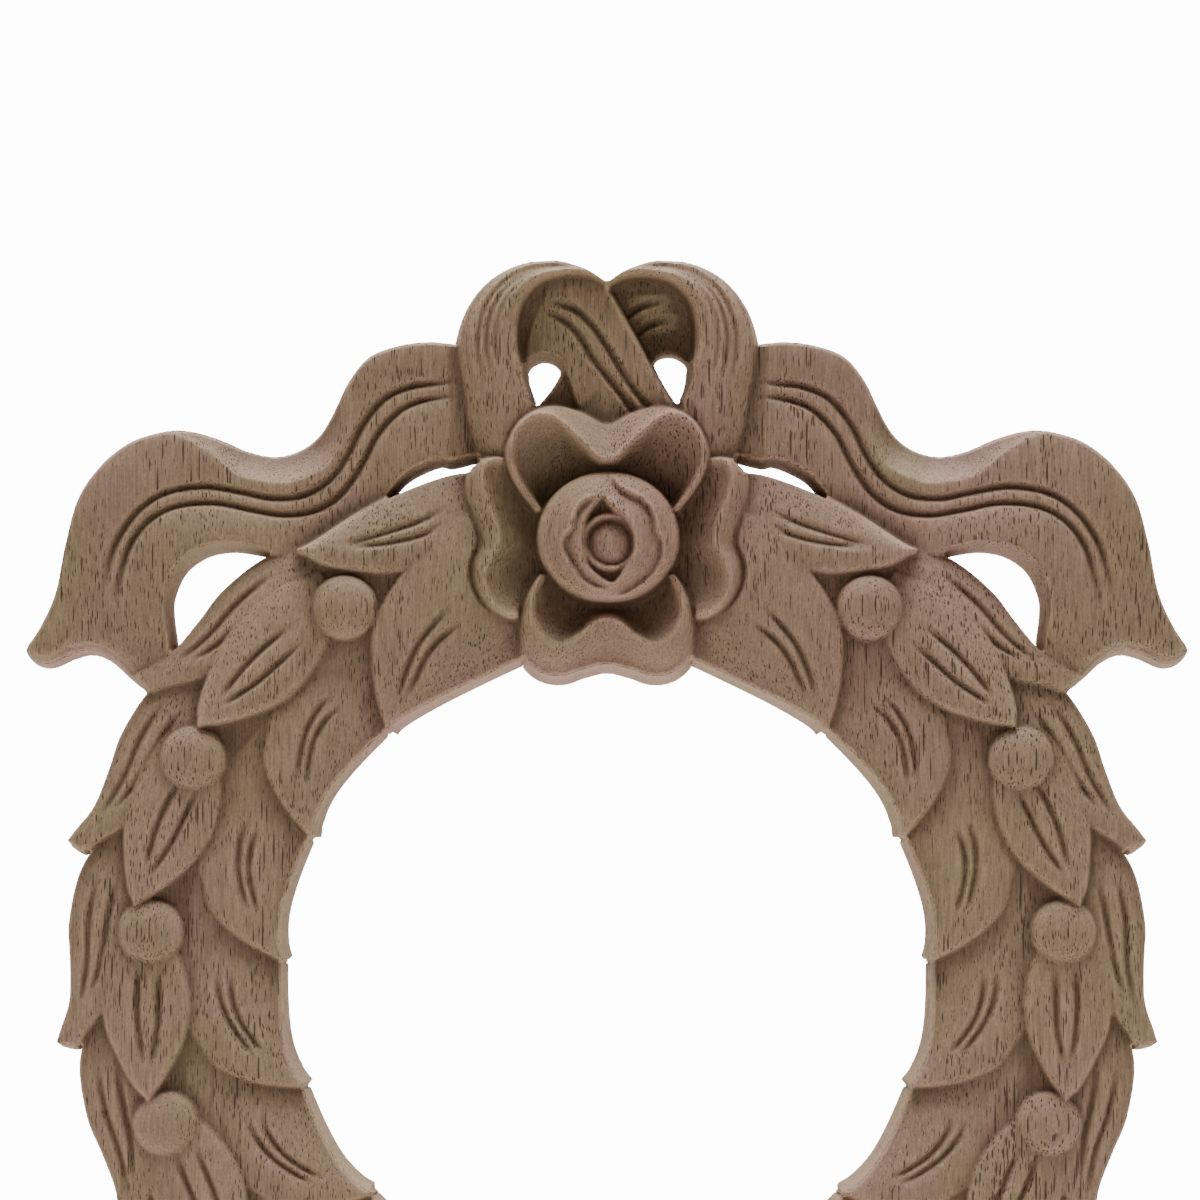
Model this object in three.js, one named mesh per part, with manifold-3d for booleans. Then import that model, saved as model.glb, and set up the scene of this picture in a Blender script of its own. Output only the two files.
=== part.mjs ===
// Carved wood wreath applique: a laurel ring with three rows of leaves and berries, a rose at its head,
// and a ribbon bow with two waving tails, all carved from one board with a flat back.
// Millimetres. +X is to the right, +Z is up, and the carving faces -Y.
// The origin is on the flat back, behind the middle of the rose.
import * as THREE from 'three';
import { LoftGeometry } from 'three/addons/geometries/LoftGeometry.js';
import { mergeVertices } from 'three/addons/utils/BufferGeometryUtils.js';
import Module from 'manifold-3d';

// Driving sizes of the ring
const holeRadius = 54.5;
const bandWidth = 38;
const roseSeat = 18.2; // from the edge of the hole up to the middle of the rose
const ringRimHeight = 6.4;
const ringCrownRise = 3.4;
const ringCrownPower = 2.2;
const groundInset = 5.5; // the plain ground stops short of the outer leaves' tips

// Driving sizes of the carving
const wallDraft = 0.1; // sideways run of a carved wall for each millimetre of its height
const berryRadius = 5.7;
const berryMiddleHeight = 8.6;
const berryFlattening = 0.85;
const leafCrown = 1.1;
const tailReach = 100.4; // from the middle of the rose to the tip of a ribbon tail
const ribbonHeight = 8.2;
const ribbonWave = 1.5;
const ribbonEdgeDrop = 3.2;
const fluteDepth = 0.8;
const loopOuterHeight = 7.4;
const loopCrownHeight = 12.2;
const loopLipHeight = 10.6;
const crossingHeight = 8.6;
const crossingTuck = 1.6; // how far the crossing band sinks where it comes out of the left loop
const loopInsideHeight = 5.6;
const petalRoot = 5; // the petals start this far from the middle of the rose
const lipThickness = 0.9;
const budRadius = 11.9;
const budShoulderHeight = 13.6;
const budShoulderRound = 3;
const budRimHeight = 18.6;
const budPocketHeight = 14.2;
const buttonRadius = 3.5;
const buttonHeight = 17.2;
const buttonGap = 0.5;

// Fineness of the solid
const ringSteps = 36;
const leafStations = 6;
const rootShare = 0.25; // where in its swell a leaf starts
const stationCrowding = 0.85; // below 1, a leaf's sections lie closer together near its tip
const berrySides = 12;
const berryLevels = 5;
const petalStations = 12;
const tailStations = 17;
const loopStations = 10;
const budSteps = 18;
const joinTolerance = 0.03; // edges shorter than this are closed up where forms join
const backOverrun = 1; // every form is started this far behind the back, which is then cut flat

const ringCentreZ = -(holeRadius + roseSeat);
const degree = Math.PI / 180;

const woodMaterial = new THREE.MeshStandardMaterial({ color: 0x8c7864, roughness: 0.78, metalness: 0 });

// A point of the carving from its place seen from the front and its height above the back
const point = (x, z, height) => new THREE.Vector3(x, -height, z);

// A place on the ring: side is 1 for the right half and -1 for the left, the angle starts at the rose
function ringPlace(side, angle, share) {
  const radius = holeRadius + share * bandWidth;
  return new THREE.Vector2(
    side * radius * Math.sin(angle * degree),
    ringCentreZ + radius * Math.cos(angle * degree),
  );
}

// The ring's crowned ground at a share of the way from the hole to the outer edge
function groundHeight(share) {
  return ringRimHeight + ringCrownRise * (1 - Math.abs(2 * share - 1) ** ringCrownPower);
}

function shareAt(place) {
  return (Math.hypot(place.x, place.y - ringCentreZ) - holeRadius) / bandWidth;
}

// A loft made into a closed solid for joining and cutting
const wasm = await Module();
wasm.setup();

function toSolid(geometry) {
  const bare = new THREE.BufferGeometry();
  bare.setAttribute('position', geometry.getAttribute('position'));
  const count = geometry.getAttribute('position').count;
  bare.setIndex(geometry.getIndex() ?? Array.from({ length: count }, (_, i) => i));
  const merged = mergeVertices(bare, 1e-4);
  return new wasm.Manifold(new wasm.Mesh({
    numProp: 3,
    vertProperties: new Float32Array(merged.getAttribute('position').array),
    triVerts: new Uint32Array(merged.getIndex().array),
    tolerance: joinTolerance,
  }));
}

const middleOf = (section) => section.reduce(
  (sum, corner) => sum.addScaledVector(corner, 1 / section.length),
  new THREE.Vector3(),
);

// Twice the area of a section, as a vector square to it
function facing(section) {
  return section.reduce((sum, corner, i) => {
    const next = section[(i + 1) % section.length];
    return sum.add(new THREE.Vector3().crossVectors(corner, next));
  }, new THREE.Vector3());
}

// A loft through closed sections, turned so that its faces point out
function loftSolid(sections) {
  const onward = middleOf(sections[1]).sub(middleOf(sections[0]));
  const turned = facing(sections[0]).dot(onward) < 0
    ? sections.map((section) => [...section].reverse())
    : sections;
  return toSolid(new LoftGeometry(turned, { capStart: true, capEnd: true }));
}

function joinAll(solids) {
  return solids.reduce((whole, next) => whole.add(next));
}

// One section of a band between two edges: walls down to the back, and a top profile between them
// given as [share across, height] pairs
function bandSection(edgeA, edgeB, profile) {
  const across = new THREE.Vector2().subVectors(edgeB, edgeA);
  const outward = across.clone().normalize();
  const top = profile.map(([share, height]) => {
    const place = edgeA.clone().addScaledVector(across, share);
    return point(place.x, place.y, height);
  });
  const footA = wallDraft * (profile[0][1] + backOverrun);
  const footB = wallDraft * (profile[profile.length - 1][1] + backOverrun);
  const baseA = edgeA.clone().addScaledVector(outward, -footA);
  const baseB = edgeB.clone().addScaledVector(outward, footB);
  return [point(baseA.x, baseA.y, -backOverrun), ...top, point(baseB.x, baseB.y, -backOverrun)];
}

// The plain ground of the ring
function ringGround() {
  const insetShare = groundInset / bandWidth;
  const topShares = [insetShare / 2, 0.35, 0.65, 1 - insetShare];
  const draftShare = (wallDraft * (ringRimHeight + backOverrun)) / bandWidth;
  const profile = [
    [topShares[0] - draftShare, -backOverrun],
    ...topShares.map((share) => [share, groundHeight(share)]),
    [topShares[topShares.length - 1] + draftShare, -backOverrun],
  ].map(([share, height]) => new THREE.Vector2(holeRadius + share * bandWidth, -height));
  const ring = new THREE.LatheGeometry([...profile, profile[0]], ringSteps);
  ring.translate(0, 0, ringCentreZ);
  return toSolid(ring);
}

// A laurel leaf: its outer and inner edges run from its root to its tip, each point given as the angle
// before the tip and the share across the ring. It lies on the ground, and lifts towards its tip.
function leaf(side, tipAngle, row) {
  const curveOf = (edge) => new THREE.SplineCurve(
    edge.map(([before, share]) => ringPlace(side, tipAngle - before, share)),
  );
  const outer = curveOf(row.outer);
  const inner = curveOf(row.inner);
  const sections = [];
  for (let i = 0; i < leafStations; i += 1) {
    const along = Math.min(row.tipShare, 1) * (i / (leafStations - 1)) ** stationCrowding;
    const edgeA = outer.getPointAt(along);
    const edgeB = inner.getPointAt(along);
    const lift = row.rootLift + (row.tipLift - row.rootLift) * along;
    const crown = leafCrown * row.fullness * Math.sin(Math.PI * (rootShare + (1 - rootShare) * along));
    const profile = row.across.map(([share, rise]) => {
      const place = edgeA.clone().lerp(edgeB, share);
      return [share, groundHeight(shareAt(place)) + lift + crown * rise];
    });
    sections.push(bandSection(edgeA, edgeB, profile));
  }
  return loftSolid(sections);
}

const veinedAcross = [[0, 0], [0.14, 0.75], [0.38, 0.35], [0.5, 1], [0.62, 0.35], [0.86, 0.75], [1, 0]];
const creasedAcross = [[0, 0], [0.24, 0.85], [0.5, 0.3], [0.76, 0.85], [1, 0]];
const plainAcross = [[0, 0], [0.2, 0.8], [0.55, 1], [1, 0.2]];

const outerRow = {
  tipAngles: [58.2, 76.8, 97.8, 118.8, 139.8, 160.8, 181.2],
  outer: [[25, 0.88], [19, 0.985], [13, 1.01], [8.6, 0.995], [4.5, 0.99], [1.6, 1.025], [0, 1.06]],
  inner: [[25, 0.66], [15, 0.6], [8, 0.68], [3.5, 0.81], [1, 0.91], [-0.7, 0.98], [0, 1.06]],
  across: plainAcross,
  rootLift: -0.6,
  tipLift: 1.3,
  fullness: 1,
  tipShare: 0.985,
};

const middleRow = {
  tipAngles: [59.4, 82.4, 106.1, 129.6, 153, 174.5],
  outer: [[23.7, 0.78], [18.6, 0.83], [13.9, 0.845], [9.4, 0.83], [5.7, 0.79], [2.1, 0.745], [0, 0.695]],
  inner: [[23.7, 0.6], [18, 0.48], [11.8, 0.435], [7.4, 0.47], [4.2, 0.54], [1.5, 0.625], [0, 0.695]],
  across: veinedAcross,
  rootLift: 0.3,
  tipLift: 2.5,
  fullness: 1.1,
  tipShare: 0.985,
};

const innerRow = {
  tipAngles: [66.4, 88.9, 111.6, 134, 157, 180.6],
  outer: [[27, 0.4], [15, 0.465], [10.8, 0.42], [7.4, 0.365], [4.3, 0.25], [1.9, 0.13], [0, 0.015]],
  inner: [[27, 0.03], [16, 0.03], [9, 0.04], [4, 0.03], [1.2, 0.01], [0, -0.005]],
  across: creasedAcross,
  rootLift: -0.5,
  tipLift: 1.6,
  fullness: 1,
  tipShare: 0.96,
};

// The leaves beside the rose are larger, and have places of their own
const headInnerLeaf = {
  ...innerRow,
  tipAngles: [43.1],
  outer: [[31, 0.72], [22, 0.7], [15.7, 0.57], [9.5, 0.45], [5.8, 0.31], [2.5, 0.155], [0, 0.01]],
  inner: [[31, 0.02], [23, -0.01], [11, -0.01], [3, 0.01], [0, -0.005]],
  rootLift: 0.3,
  tipLift: 1.8,
};
const headOuterLeaf = {
  ...middleRow,
  tipAngles: [36.4],
  outer: [[25, 0.85], [21, 0.87], [17.9, 0.885], [12.4, 0.885], [7.3, 0.88], [3, 0.885], [0, 0.9]],
  inner: [[25, 0.6], [19.1, 0.595], [15.2, 0.545], [9.7, 0.565], [5.1, 0.645], [1.5, 0.77], [0, 0.9]],
  rootLift: -1.6,
  tipLift: 3.2,
};

const berryAngles = [36, 63.1, 85.3, 109.3, 132.8, 156.3];
const berryShares = [0.58, 0.665, 0.635, 0.675, 0.665, 0.665];

function berry(place) {
  const ball = new THREE.SphereGeometry(berryRadius, berrySides, berryLevels);
  ball.rotateX(Math.PI / 2);
  ball.scale(1, berryFlattening, 1);
  ball.translate(place.x, -berryMiddleHeight, place.y);
  return toSolid(ball);
}

function leavesAndBerries(side) {
  const forms = [];
  for (const row of [outerRow, innerRow, middleRow, headInnerLeaf, headOuterLeaf]) {
    row.tipAngles.forEach((tipAngle) => forms.push(leaf(side, tipAngle, row)));
  }
  berryAngles.forEach((angle, i) => forms.push(berry(ringPlace(side, angle, berryShares[i]))));
  return forms;
}

// A ribbon tail of the right side, in millimetres from the middle of the rose. It is drawn at the reach
// of its last point, and stretched sideways to the tail's own reach.
const tailUpperEdge = [
  [18, 34.4], [26.5, 35], [30.6, 35.3], [35.8, 34.6], [41, 32.6], [44.5, 28.6], [46.7, 24.4], [49.4, 20],
  [53, 17.1], [57.5, 15.9], [62.3, 16.8], [67.7, 18.9], [73.2, 20.1], [78.4, 19.2], [82.6, 17.4],
  [87, 13.7], [90.9, 8], [93.2, 0], [94.9, -8.1], [97.6, -14], [100.4, -18.8],
];
const tailLowerEdge = [
  [18, 15.6], [26.1, 13], [28.7, 13.3], [32.2, 12.1], [35, 10.6], [37.4, 8], [41.5, 3.6], [46.2, -0.4],
  [51, -2.6], [54.9, -2.9], [60.1, -1.6], [64.8, -1], [69.1, -1.9], [72.6, -4.5], [74.5, -8.5],
  [74.6, -11.8], [73.9, -17.3], [74.4, -22], [76.8, -26.4],
];
const tailEndDips = [0, -1.9, 0.6, 3.4, 3.2, 0.8, 0];
const tailAcross = [
  { share: 0, drop: 1 },
  { share: 0.24, drop: 0 },
  { share: 0.38, drop: 0 },
  { share: 0.42, drop: 0, flute: 1 },
  { share: 0.52, drop: 0 },
  { share: 0.57, drop: 0, flute: 1 },
  { share: 0.61, drop: 0 },
  { share: 1, drop: 0.12 },
];

// Where the ribbon waves, curls over and is fluted, as shares of its length
const waveCount = 1.45;
const waveStart = -0.05;
const curl = { place: 0.41, spread: 0.1, least: 0.35 };
const fluteSpan = { start: 0.08, length: 0.8 };
const hangStart = 0.8;

function toCurve(stretch, pairs) {
  return new THREE.SplineCurve(pairs.map(([x, z]) => new THREE.Vector2(stretch * x, z)));
}

function ribbonTail(side) {
  const stretch = (side * tailReach) / tailUpperEdge[tailUpperEdge.length - 1][0];
  const upper = toCurve(stretch, tailUpperEdge);
  const lower = toCurve(stretch, tailLowerEdge);
  const dipAt = new THREE.SplineCurve(tailEndDips.map((dip, i) => new THREE.Vector2(i, dip)));
  const sections = [];
  for (let i = 0; i <= tailStations; i += 1) {
    const along = i / tailStations;
    const edgeA = upper.getPointAt(along);
    const edgeB = lower.getPointAt(along);
    const wave = ribbonWave * Math.cos(2 * Math.PI * (along * waveCount + waveStart));
    const curled = Math.exp(-(((along - curl.place) / curl.spread) ** 2));
    const edgeDrop = ribbonEdgeDrop * (curl.least + (1 - curl.least) * curled);
    const fluteShare = Math.min(1, Math.max(0, (along - fluteSpan.start) / fluteSpan.length));
    const flute = fluteDepth * Math.sin(Math.PI * fluteShare);
    const profile = tailAcross.map((mark) => [
      mark.share,
      ribbonHeight + wave - edgeDrop * mark.drop - flute * (mark.flute ?? 0),
    ]);
    const section = bandSection(edgeA, edgeB, profile);
    const hang = Math.max(0, (along - hangStart) / (1 - hangStart)) ** 2;
    section.forEach((corner, j) => {
      const share = Math.min(1, Math.max(0, (j - 1) / (section.length - 3)));
      corner.z += hang * dipAt.getPoint(share).y;
    });
    sections.push(section);
  }
  return loftSolid(sections);
}

// The bow: two loop bands, the band that crosses from the left loop, and what shows inside the loops
const loopOuterEdge = [
  [14, 8], [20.5, 11], [23.9, 19.9], [24.9, 26.3], [25.6, 31], [26, 36], [24.2, 40.5], [21.5, 44.3],
  [17.1, 47.5], [11.3, 48.8], [6.4, 48.1], [2.1, 46.2], [-0.8, 44],
];
const loopInnerEdge = [
  [8, 10], [11, 17], [13.4, 22.5], [14.2, 27], [14.9, 31.6], [15.3, 35.6], [14.9, 39.4], [13.6, 42],
  [11.8, 43.8], [9, 45.1], [6, 45.5], [3, 45.1], [-0.6, 43.4],
];
const crossingRightEdge = [
  [-11.6, 43.8], [-5.5, 45.3], [-0.7, 44.2], [1.9, 41.4], [4.8, 36.4], [8, 30.8], [11.1, 25.6], [14, 20.8],
];
const crossingLeftEdge = [
  [-15.4, 34.2], [-13.4, 32], [-11.2, 32], [-8.8, 31.1], [-7.2, 28.8], [-5.8, 25.4], [-4, 21.4],
  [-1.2, 17.5],
];
const loopBevelRise = 2.6;
const loopGroove = 0.9;
const loopAcross = [
  [0, loopOuterHeight], [0.16, loopOuterHeight + loopBevelRise], [0.38, loopCrownHeight - loopGroove],
  [0.5, loopCrownHeight], [0.6, loopCrownHeight - loopGroove], [1, loopLipHeight],
];
const crossingAcross = [[0, 0.9], [0.3, 0.4], [0.41, -0.5], [0.51, 0.3], [0.61, -0.5], [1, 0]];

function loopBand(side) {
  const outer = toCurve(side, loopOuterEdge);
  const inner = toCurve(side, loopInnerEdge);
  const sections = [];
  for (let i = 0; i <= loopStations; i += 1) {
    const along = i / loopStations;
    sections.push(bandSection(outer.getPoint(along), inner.getPoint(along), loopAcross));
  }
  return loftSolid(sections);
}

function crossingBand() {
  const right = toCurve(1, crossingRightEdge);
  const left = toCurve(1, crossingLeftEdge);
  const sections = [];
  for (let i = 0; i <= loopStations; i += 1) {
    const along = i / loopStations;
    const tuck = crossingTuck * Math.cos((Math.PI / 2) * along) ** 2;
    const profile = crossingAcross.map(([share, rise]) => [share, crossingHeight - tuck + rise]);
    sections.push(bandSection(right.getPoint(along), left.getPoint(along), profile));
  }
  return loftSolid(sections);
}

// A low flat-topped form inside a loop, from its corners seen from the front
function slab(corners, height) {
  const shape = new THREE.Shape(corners.map(([x, z]) => new THREE.Vector2(x, z)));
  const body = new THREE.ExtrudeGeometry(shape, { depth: height + backOverrun, bevelEnabled: false });
  body.rotateX(Math.PI / 2);
  body.translate(0, backOverrun, 0);
  return toSolid(body);
}

const rightLoopInside = [
  [0, 43], [4.8, 46], [9.5, 46], [13.2, 44.4], [15.8, 41], [16.5, 36], [15.5, 31.2], [13.3, 31.2],
  [12.1, 32.1], [10.7, 32.6], [9.4, 32.3], [8.1, 31.6], [6, 31], [1, 38],
];
const leftLoopInside = [
  [-7.6, 30.3], [-8.8, 28.2], [-10.2, 26.5], [-12.2, 24.4], [-14.5, 22], [-10, 17], [-3, 17], [-4.5, 25],
];

function bow() {
  return [
    loopBand(1),
    loopBand(-1),
    crossingBand(),
    slab(rightLoopInside, loopInsideHeight),
    slab(leftLoopInside, loopInsideHeight),
  ];
}

// A rose petal seen from the middle of the rose: the lip and the outer edge are given as
// [angle from the petal's own middle, distance] pairs. The top and bottom petals are drawn up to their
// middles, and their other halves are the same.
const topPetal = {
  facing: 0,
  lip: [[-64, 13], [-52, 20.4], [-42, 23.7], [-32, 24.8], [-24, 23.2], [-18, 19.4], [-9, 14.9], [0, 13.7]],
  edge: [[-64, 14.5], [-52, 22.4], [-42, 24.9], [-32, 25.9], [-22, 25.2], [-12, 22.9], [0, 20.3]],
  lipHeight: 14.6,
  floorHeight: 10,
  edgeHeight: 10.8,
};
const sidePetal = {
  facing: 90,
  lip: [[-44, 17.5], [-38, 20.6], [-27, 22.2], [-17, 21.6], [-8, 19.7], [0, 18.2], [11, 19.3], [21, 22.2],
    [29, 24.1], [36, 23.8], [44, 18]],
  edge: [[-44, 18.6], [-38, 21.4], [-27, 23.7], [-17, 24.5], [-9, 23.9], [0, 22.3], [9, 23.3], [20, 25.9],
    [28, 26.8], [35, 25.6], [44, 20]],
  lipHeight: 12.6,
  floorHeight: 9.6,
  edgeHeight: 9.8,
};
const bottomPetal = {
  facing: 180,
  lip: [[-62, 12.5], [-53, 15.7], [-44, 18.1], [-34, 19.4], [-25, 19.3], [-18, 17], [-10, 13.9], [0, 12.9]],
  edge: [[-62, 14.5], [-53, 18.8], [-44, 22.2], [-36, 24.6], [-27, 25.4], [-18, 24.4], [-10, 22.4],
    [0, 21.2]],
  lipHeight: 13.4,
  floorHeight: 9.8,
  edgeHeight: 8.6,
};

const floorShare = 0.72; // the flat of a cup ends at this share of the way to the lip
const rollShare = 0.55;
const rollDrop = 0.3;

// The other half of a petal with equal lobes
const mirrorHalf = (pairs) => [...pairs, ...pairs.slice(0, -1).reverse().map(([angle, r]) => [-angle, r])];

function petal(form, side = 1) {
  const isSide = form === sidePetal;
  const drawn = (pairs) => (isSide ? pairs : mirrorHalf(pairs)).map((pair) => new THREE.Vector2(...pair));
  const lipCurve = new THREE.SplineCurve(drawn(form.lip));
  const edgeCurve = new THREE.SplineCurve(drawn(form.edge));
  const sections = [];
  for (let i = 0; i <= petalStations; i += 1) {
    const { x: fromMiddle, y: lipRadius } = lipCurve.getPointAt(i / petalStations);
    const edgeRadius = radiusAt(edgeCurve, fromMiddle);
    const floorRadius = Math.min(floorShare * lipRadius, lipRadius - 2 * lipThickness);
    const angle = (form.facing + (isSide ? -fromMiddle : fromMiddle)) * degree;
    const outline = [
      [petalRoot, -backOverrun],
      [petalRoot, form.floorHeight],
      [floorRadius, form.floorHeight],
      [lipRadius - lipThickness, form.lipHeight - lipThickness],
      [lipRadius, form.lipHeight],
      [
        lipRadius + rollShare * (edgeRadius - lipRadius),
        form.lipHeight - rollDrop * (form.lipHeight - form.edgeHeight),
      ],
      [edgeRadius, form.edgeHeight],
      [edgeRadius + wallDraft * (form.edgeHeight + backOverrun), -backOverrun],
    ];
    sections.push(outline.map(([radius, height]) => point(
      side * radius * Math.sin(angle),
      radius * Math.cos(angle),
      height,
    )));
  }
  return loftSolid(sections);
}

// The distance of a curve of [angle, distance] at an angle
function radiusAt(curve, angle) {
  let low = 0;
  let high = 1;
  for (let i = 0; i < 30; i += 1) {
    const middle = (low + high) / 2;
    if (curve.getPoint(middle).x < angle) {
      low = middle;
    } else {
      high = middle;
    }
  }
  return curve.getPoint(low).y;
}

// The bud: rings of points from its foot up over the shoulder to the rim, down into the pocket, and
// up again to the button. The rim is nearer at the top left than at the bottom right.
const budMiddleZ = 0.5;
const budSink = 0.7; // the pocket and the button lie this far below the bud's middle
const rimSway = { amount: 0.07, angle: -20 };
const budLevels = [
  { radius: budRadius + wallDraft * budShoulderHeight, height: -backOverrun, sink: 0 },
  { radius: budRadius, height: budShoulderHeight - budShoulderRound, sink: 0 },
  { radius: budRadius * 0.96, height: budShoulderHeight, sink: 0 },
  { radius: budRadius * 0.86, height: budRimHeight * 0.9, sink: 0 },
  { radius: budRadius * 0.7, height: budRimHeight, sink: 0.5, sways: true },
  { radius: budRadius * 0.62, height: budRimHeight - lipThickness, sink: 0.8, sways: true },
  { radius: buttonRadius + 3 * buttonGap, height: budPocketHeight + 2 * buttonGap, sink: 1 },
  { radius: buttonRadius + buttonGap, height: budPocketHeight, sink: 1 },
  { radius: buttonRadius, height: (budPocketHeight + buttonHeight) / 2, sink: 1 },
  { radius: buttonRadius * 0.5, height: buttonHeight, sink: 1 },
];

function bud() {
  return loftSolid(budLevels.map((level) => {
    const ring = [];
    for (let i = 0; i < budSteps; i += 1) {
      const angle = (360 * i) / budSteps;
      const sway = level.sways ? 1 - rimSway.amount * Math.cos((angle - rimSway.angle) * degree) : 1;
      ring.push(point(
        level.radius * sway * Math.sin(angle * degree),
        budMiddleZ - budSink * level.sink + level.radius * sway * Math.cos(angle * degree),
        level.height,
      ));
    }
    return ring;
  }));
}

function rose() {
  return [petal(topPetal), petal(sidePetal, 1), petal(sidePetal, -1), petal(bottomPetal), bud()];
}

// Everything joined, and the back cut flat
function carving() {
  const forms = [
    ringGround(),
    ...leavesAndBerries(1),
    ...leavesAndBerries(-1),
    berry(ringPlace(1, 180, berryShares[berryShares.length - 1])),
    ribbonTail(1),
    ribbonTail(-1),
    ...bow(),
    ...rose(),
  ];
  const reach = 3 * (holeRadius + bandWidth);
  const behind = new THREE.BoxGeometry(2 * reach, 2 * reach, 2 * reach);
  behind.translate(0, reach, 0);
  return joinAll(forms).subtract(toSolid(behind));
}

function toGeometry(solid) {
  const { vertProperties, triVerts } = solid.getMesh();
  const geometry = new THREE.BufferGeometry();
  geometry.setAttribute('position', new THREE.BufferAttribute(vertProperties, 3));
  geometry.setIndex(new THREE.BufferAttribute(triVerts, 1));
  geometry.computeVertexNormals();
  return geometry;
}

const applique = new THREE.Group();
const carved = new THREE.Mesh(toGeometry(carving()), woodMaterial);
carved.name = 'carved_wreath_applique';
applique.add(carved);

export default applique;
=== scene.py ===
"""A laurel wreath applique carved from one board of raw rubberwood.

The carving is made as a sheet of heights above its flat back, in millimetres: the ring with its leaves
and berries, the ribbon tails, the bow and the rose are each carved into the sheet, and the sheet is then
turned into one closed piece with cut walls and a flat back. +X is right, +Z is up, the front faces -Y.
"""

import logging
import math
from dataclasses import dataclass, field
from enum import Enum
from typing import Callable

import bpy
import numpy as np
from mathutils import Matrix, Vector
from mathutils.geometry import delaunay_2d_cdt


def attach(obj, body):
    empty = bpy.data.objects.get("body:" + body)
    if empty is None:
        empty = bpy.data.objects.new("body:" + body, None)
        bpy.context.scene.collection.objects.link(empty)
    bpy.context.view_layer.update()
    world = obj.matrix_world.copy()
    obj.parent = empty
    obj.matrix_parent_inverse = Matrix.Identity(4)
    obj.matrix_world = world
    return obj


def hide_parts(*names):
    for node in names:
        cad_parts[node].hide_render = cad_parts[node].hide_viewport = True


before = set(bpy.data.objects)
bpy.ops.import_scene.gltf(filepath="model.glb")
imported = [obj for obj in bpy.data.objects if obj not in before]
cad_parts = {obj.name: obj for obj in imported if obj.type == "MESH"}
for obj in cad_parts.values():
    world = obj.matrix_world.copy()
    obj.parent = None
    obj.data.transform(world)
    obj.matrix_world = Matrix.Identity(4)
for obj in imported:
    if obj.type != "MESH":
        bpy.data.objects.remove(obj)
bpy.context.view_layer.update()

LOG = logging.getLogger("wreath")
MM = 0.001
CURVE_STEPS = 24  # between two points of a curve, before its points are spaced evenly
PLACES_AT_ONCE = 8000  # measured together, to spare memory
EDGE_DROP = 0.4  # mm that sanding takes off a carved edge
EDGE_WIDTH = 0.6  # mm from an edge to where the sanding ends
NOISE_RANGE = (0.3, 0.7)  # a noise's values lie mostly between these
Array = np.ndarray
Pair = tuple[float, float]
Pairs = tuple[Pair, ...]
Span = tuple[float, float, float, float]
Form = Callable[[Array], tuple[Array, Array]]
Value = bpy.types.NodeSocket | tuple | float


class Join(Enum):
    """How a carved form meets what is already in the board."""

    RISE = "the higher of the two shows"
    COVER = "the new form is cut into the old one"


def spline(points: Array | Pairs, count: int) -> Array:
    """Draws a smooth curve through points, evenly spaced along its length.

    Args:
        points: The points to pass through, one row each.
        count: How many points to return.

    Returns:
        The curve's points, one row each.
    """
    points = np.asarray(points, float)
    ends = np.vstack([2 * points[0] - points[1], points, 2 * points[-1] - points[-2]])
    steps = np.linspace(0, 1, CURVE_STEPS, endpoint=False)[:, None]
    parts = []
    for i in range(len(points) - 1):
        a, b, c, d = ends[i:i + 4]
        parts.append(0.5 * (2 * b + (c - a) * steps + (2 * a - 5 * b + 4 * c - d) * steps ** 2
                            + (3 * b - a - 3 * c + d) * steps ** 3))
    dense = np.vstack([*parts, points[-1:]])
    run = np.concatenate([[0], np.cumsum(np.hypot(*np.diff(dense, axis=0).T))])
    wanted = np.linspace(0, run[-1], count)
    return np.column_stack([np.interp(wanted, run, dense[:, axis]) for axis in (0, 1)])


def nearest(places: Array, line: Array) -> tuple[Array, Array]:
    """Finds how far places are from a line, and where along it the nearest point is.

    Args:
        places: The places, one row each.
        line: The line's points, one row each.

    Returns:
        The distance of each place, and the share of the way along the line.
    """
    start_x, start_z = line[:-1].T.astype(np.float32)
    run_x, run_z = np.diff(line, axis=0).T.astype(np.float32)
    size = np.maximum(run_x ** 2 + run_z ** 2, 1e-9)
    reach = np.concatenate([[0], np.cumsum(np.sqrt(size))])
    far, along = np.empty(len(places)), np.empty(len(places))
    for low in range(0, len(places), PLACES_AT_ONCE):
        part = slice(low, low + PLACES_AT_ONCE)
        x, z = places[part].T.astype(np.float32)
        gap_x, gap_z = x[:, None] - start_x, z[:, None] - start_z
        t = np.clip((gap_x * run_x + gap_z * run_z) / size, 0, 1)
        gap_x -= t * run_x
        gap_z -= t * run_z
        off = gap_x * gap_x + gap_z * gap_z
        best = off.argmin(1)
        row = np.arange(len(best))
        far[part] = np.sqrt(off[row, best])
        along[part] = (reach[best] + t[row, best] * np.sqrt(size[best])) / reach[-1]
    return far, along


def enclosed(places: Array, sides: Array) -> Array:
    """Tells which places are enclosed by sides that close round them.

    Args:
        places: The places, one row each.
        sides: The two ends of each side.

    Returns:
        True for each place that is inside.
    """
    x, z = places[:, 0], places[:, 1]
    inside = np.zeros(len(places), bool)
    for (x0, z0), (x1, z1) in sides:
        if z0 != z1:
            inside ^= ((z0 > z) != (z1 > z)) & (x < (x1 - x0) * (z - z0) / (z1 - z0) + x0)
    return inside


def within(places: Array, outline: Array) -> Array:
    """Tells which places are inside a closed outline."""
    return enclosed(places, np.stack([outline, np.roll(outline, -1, axis=0)], axis=1))


def depth_inside(places: Array, outline: Array) -> Array:
    """Gives the distance of each place from an outline, positive inside it."""
    far, _ = nearest(places, np.vstack([outline, outline[:1]]))
    return np.where(within(places, outline), far, -far)


def crest(offset: Array, width: float) -> Array:
    """A smooth ridge or groove: 1 on its line and fading to either side over a width."""
    return np.exp(-(offset / width) ** 2)


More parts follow.
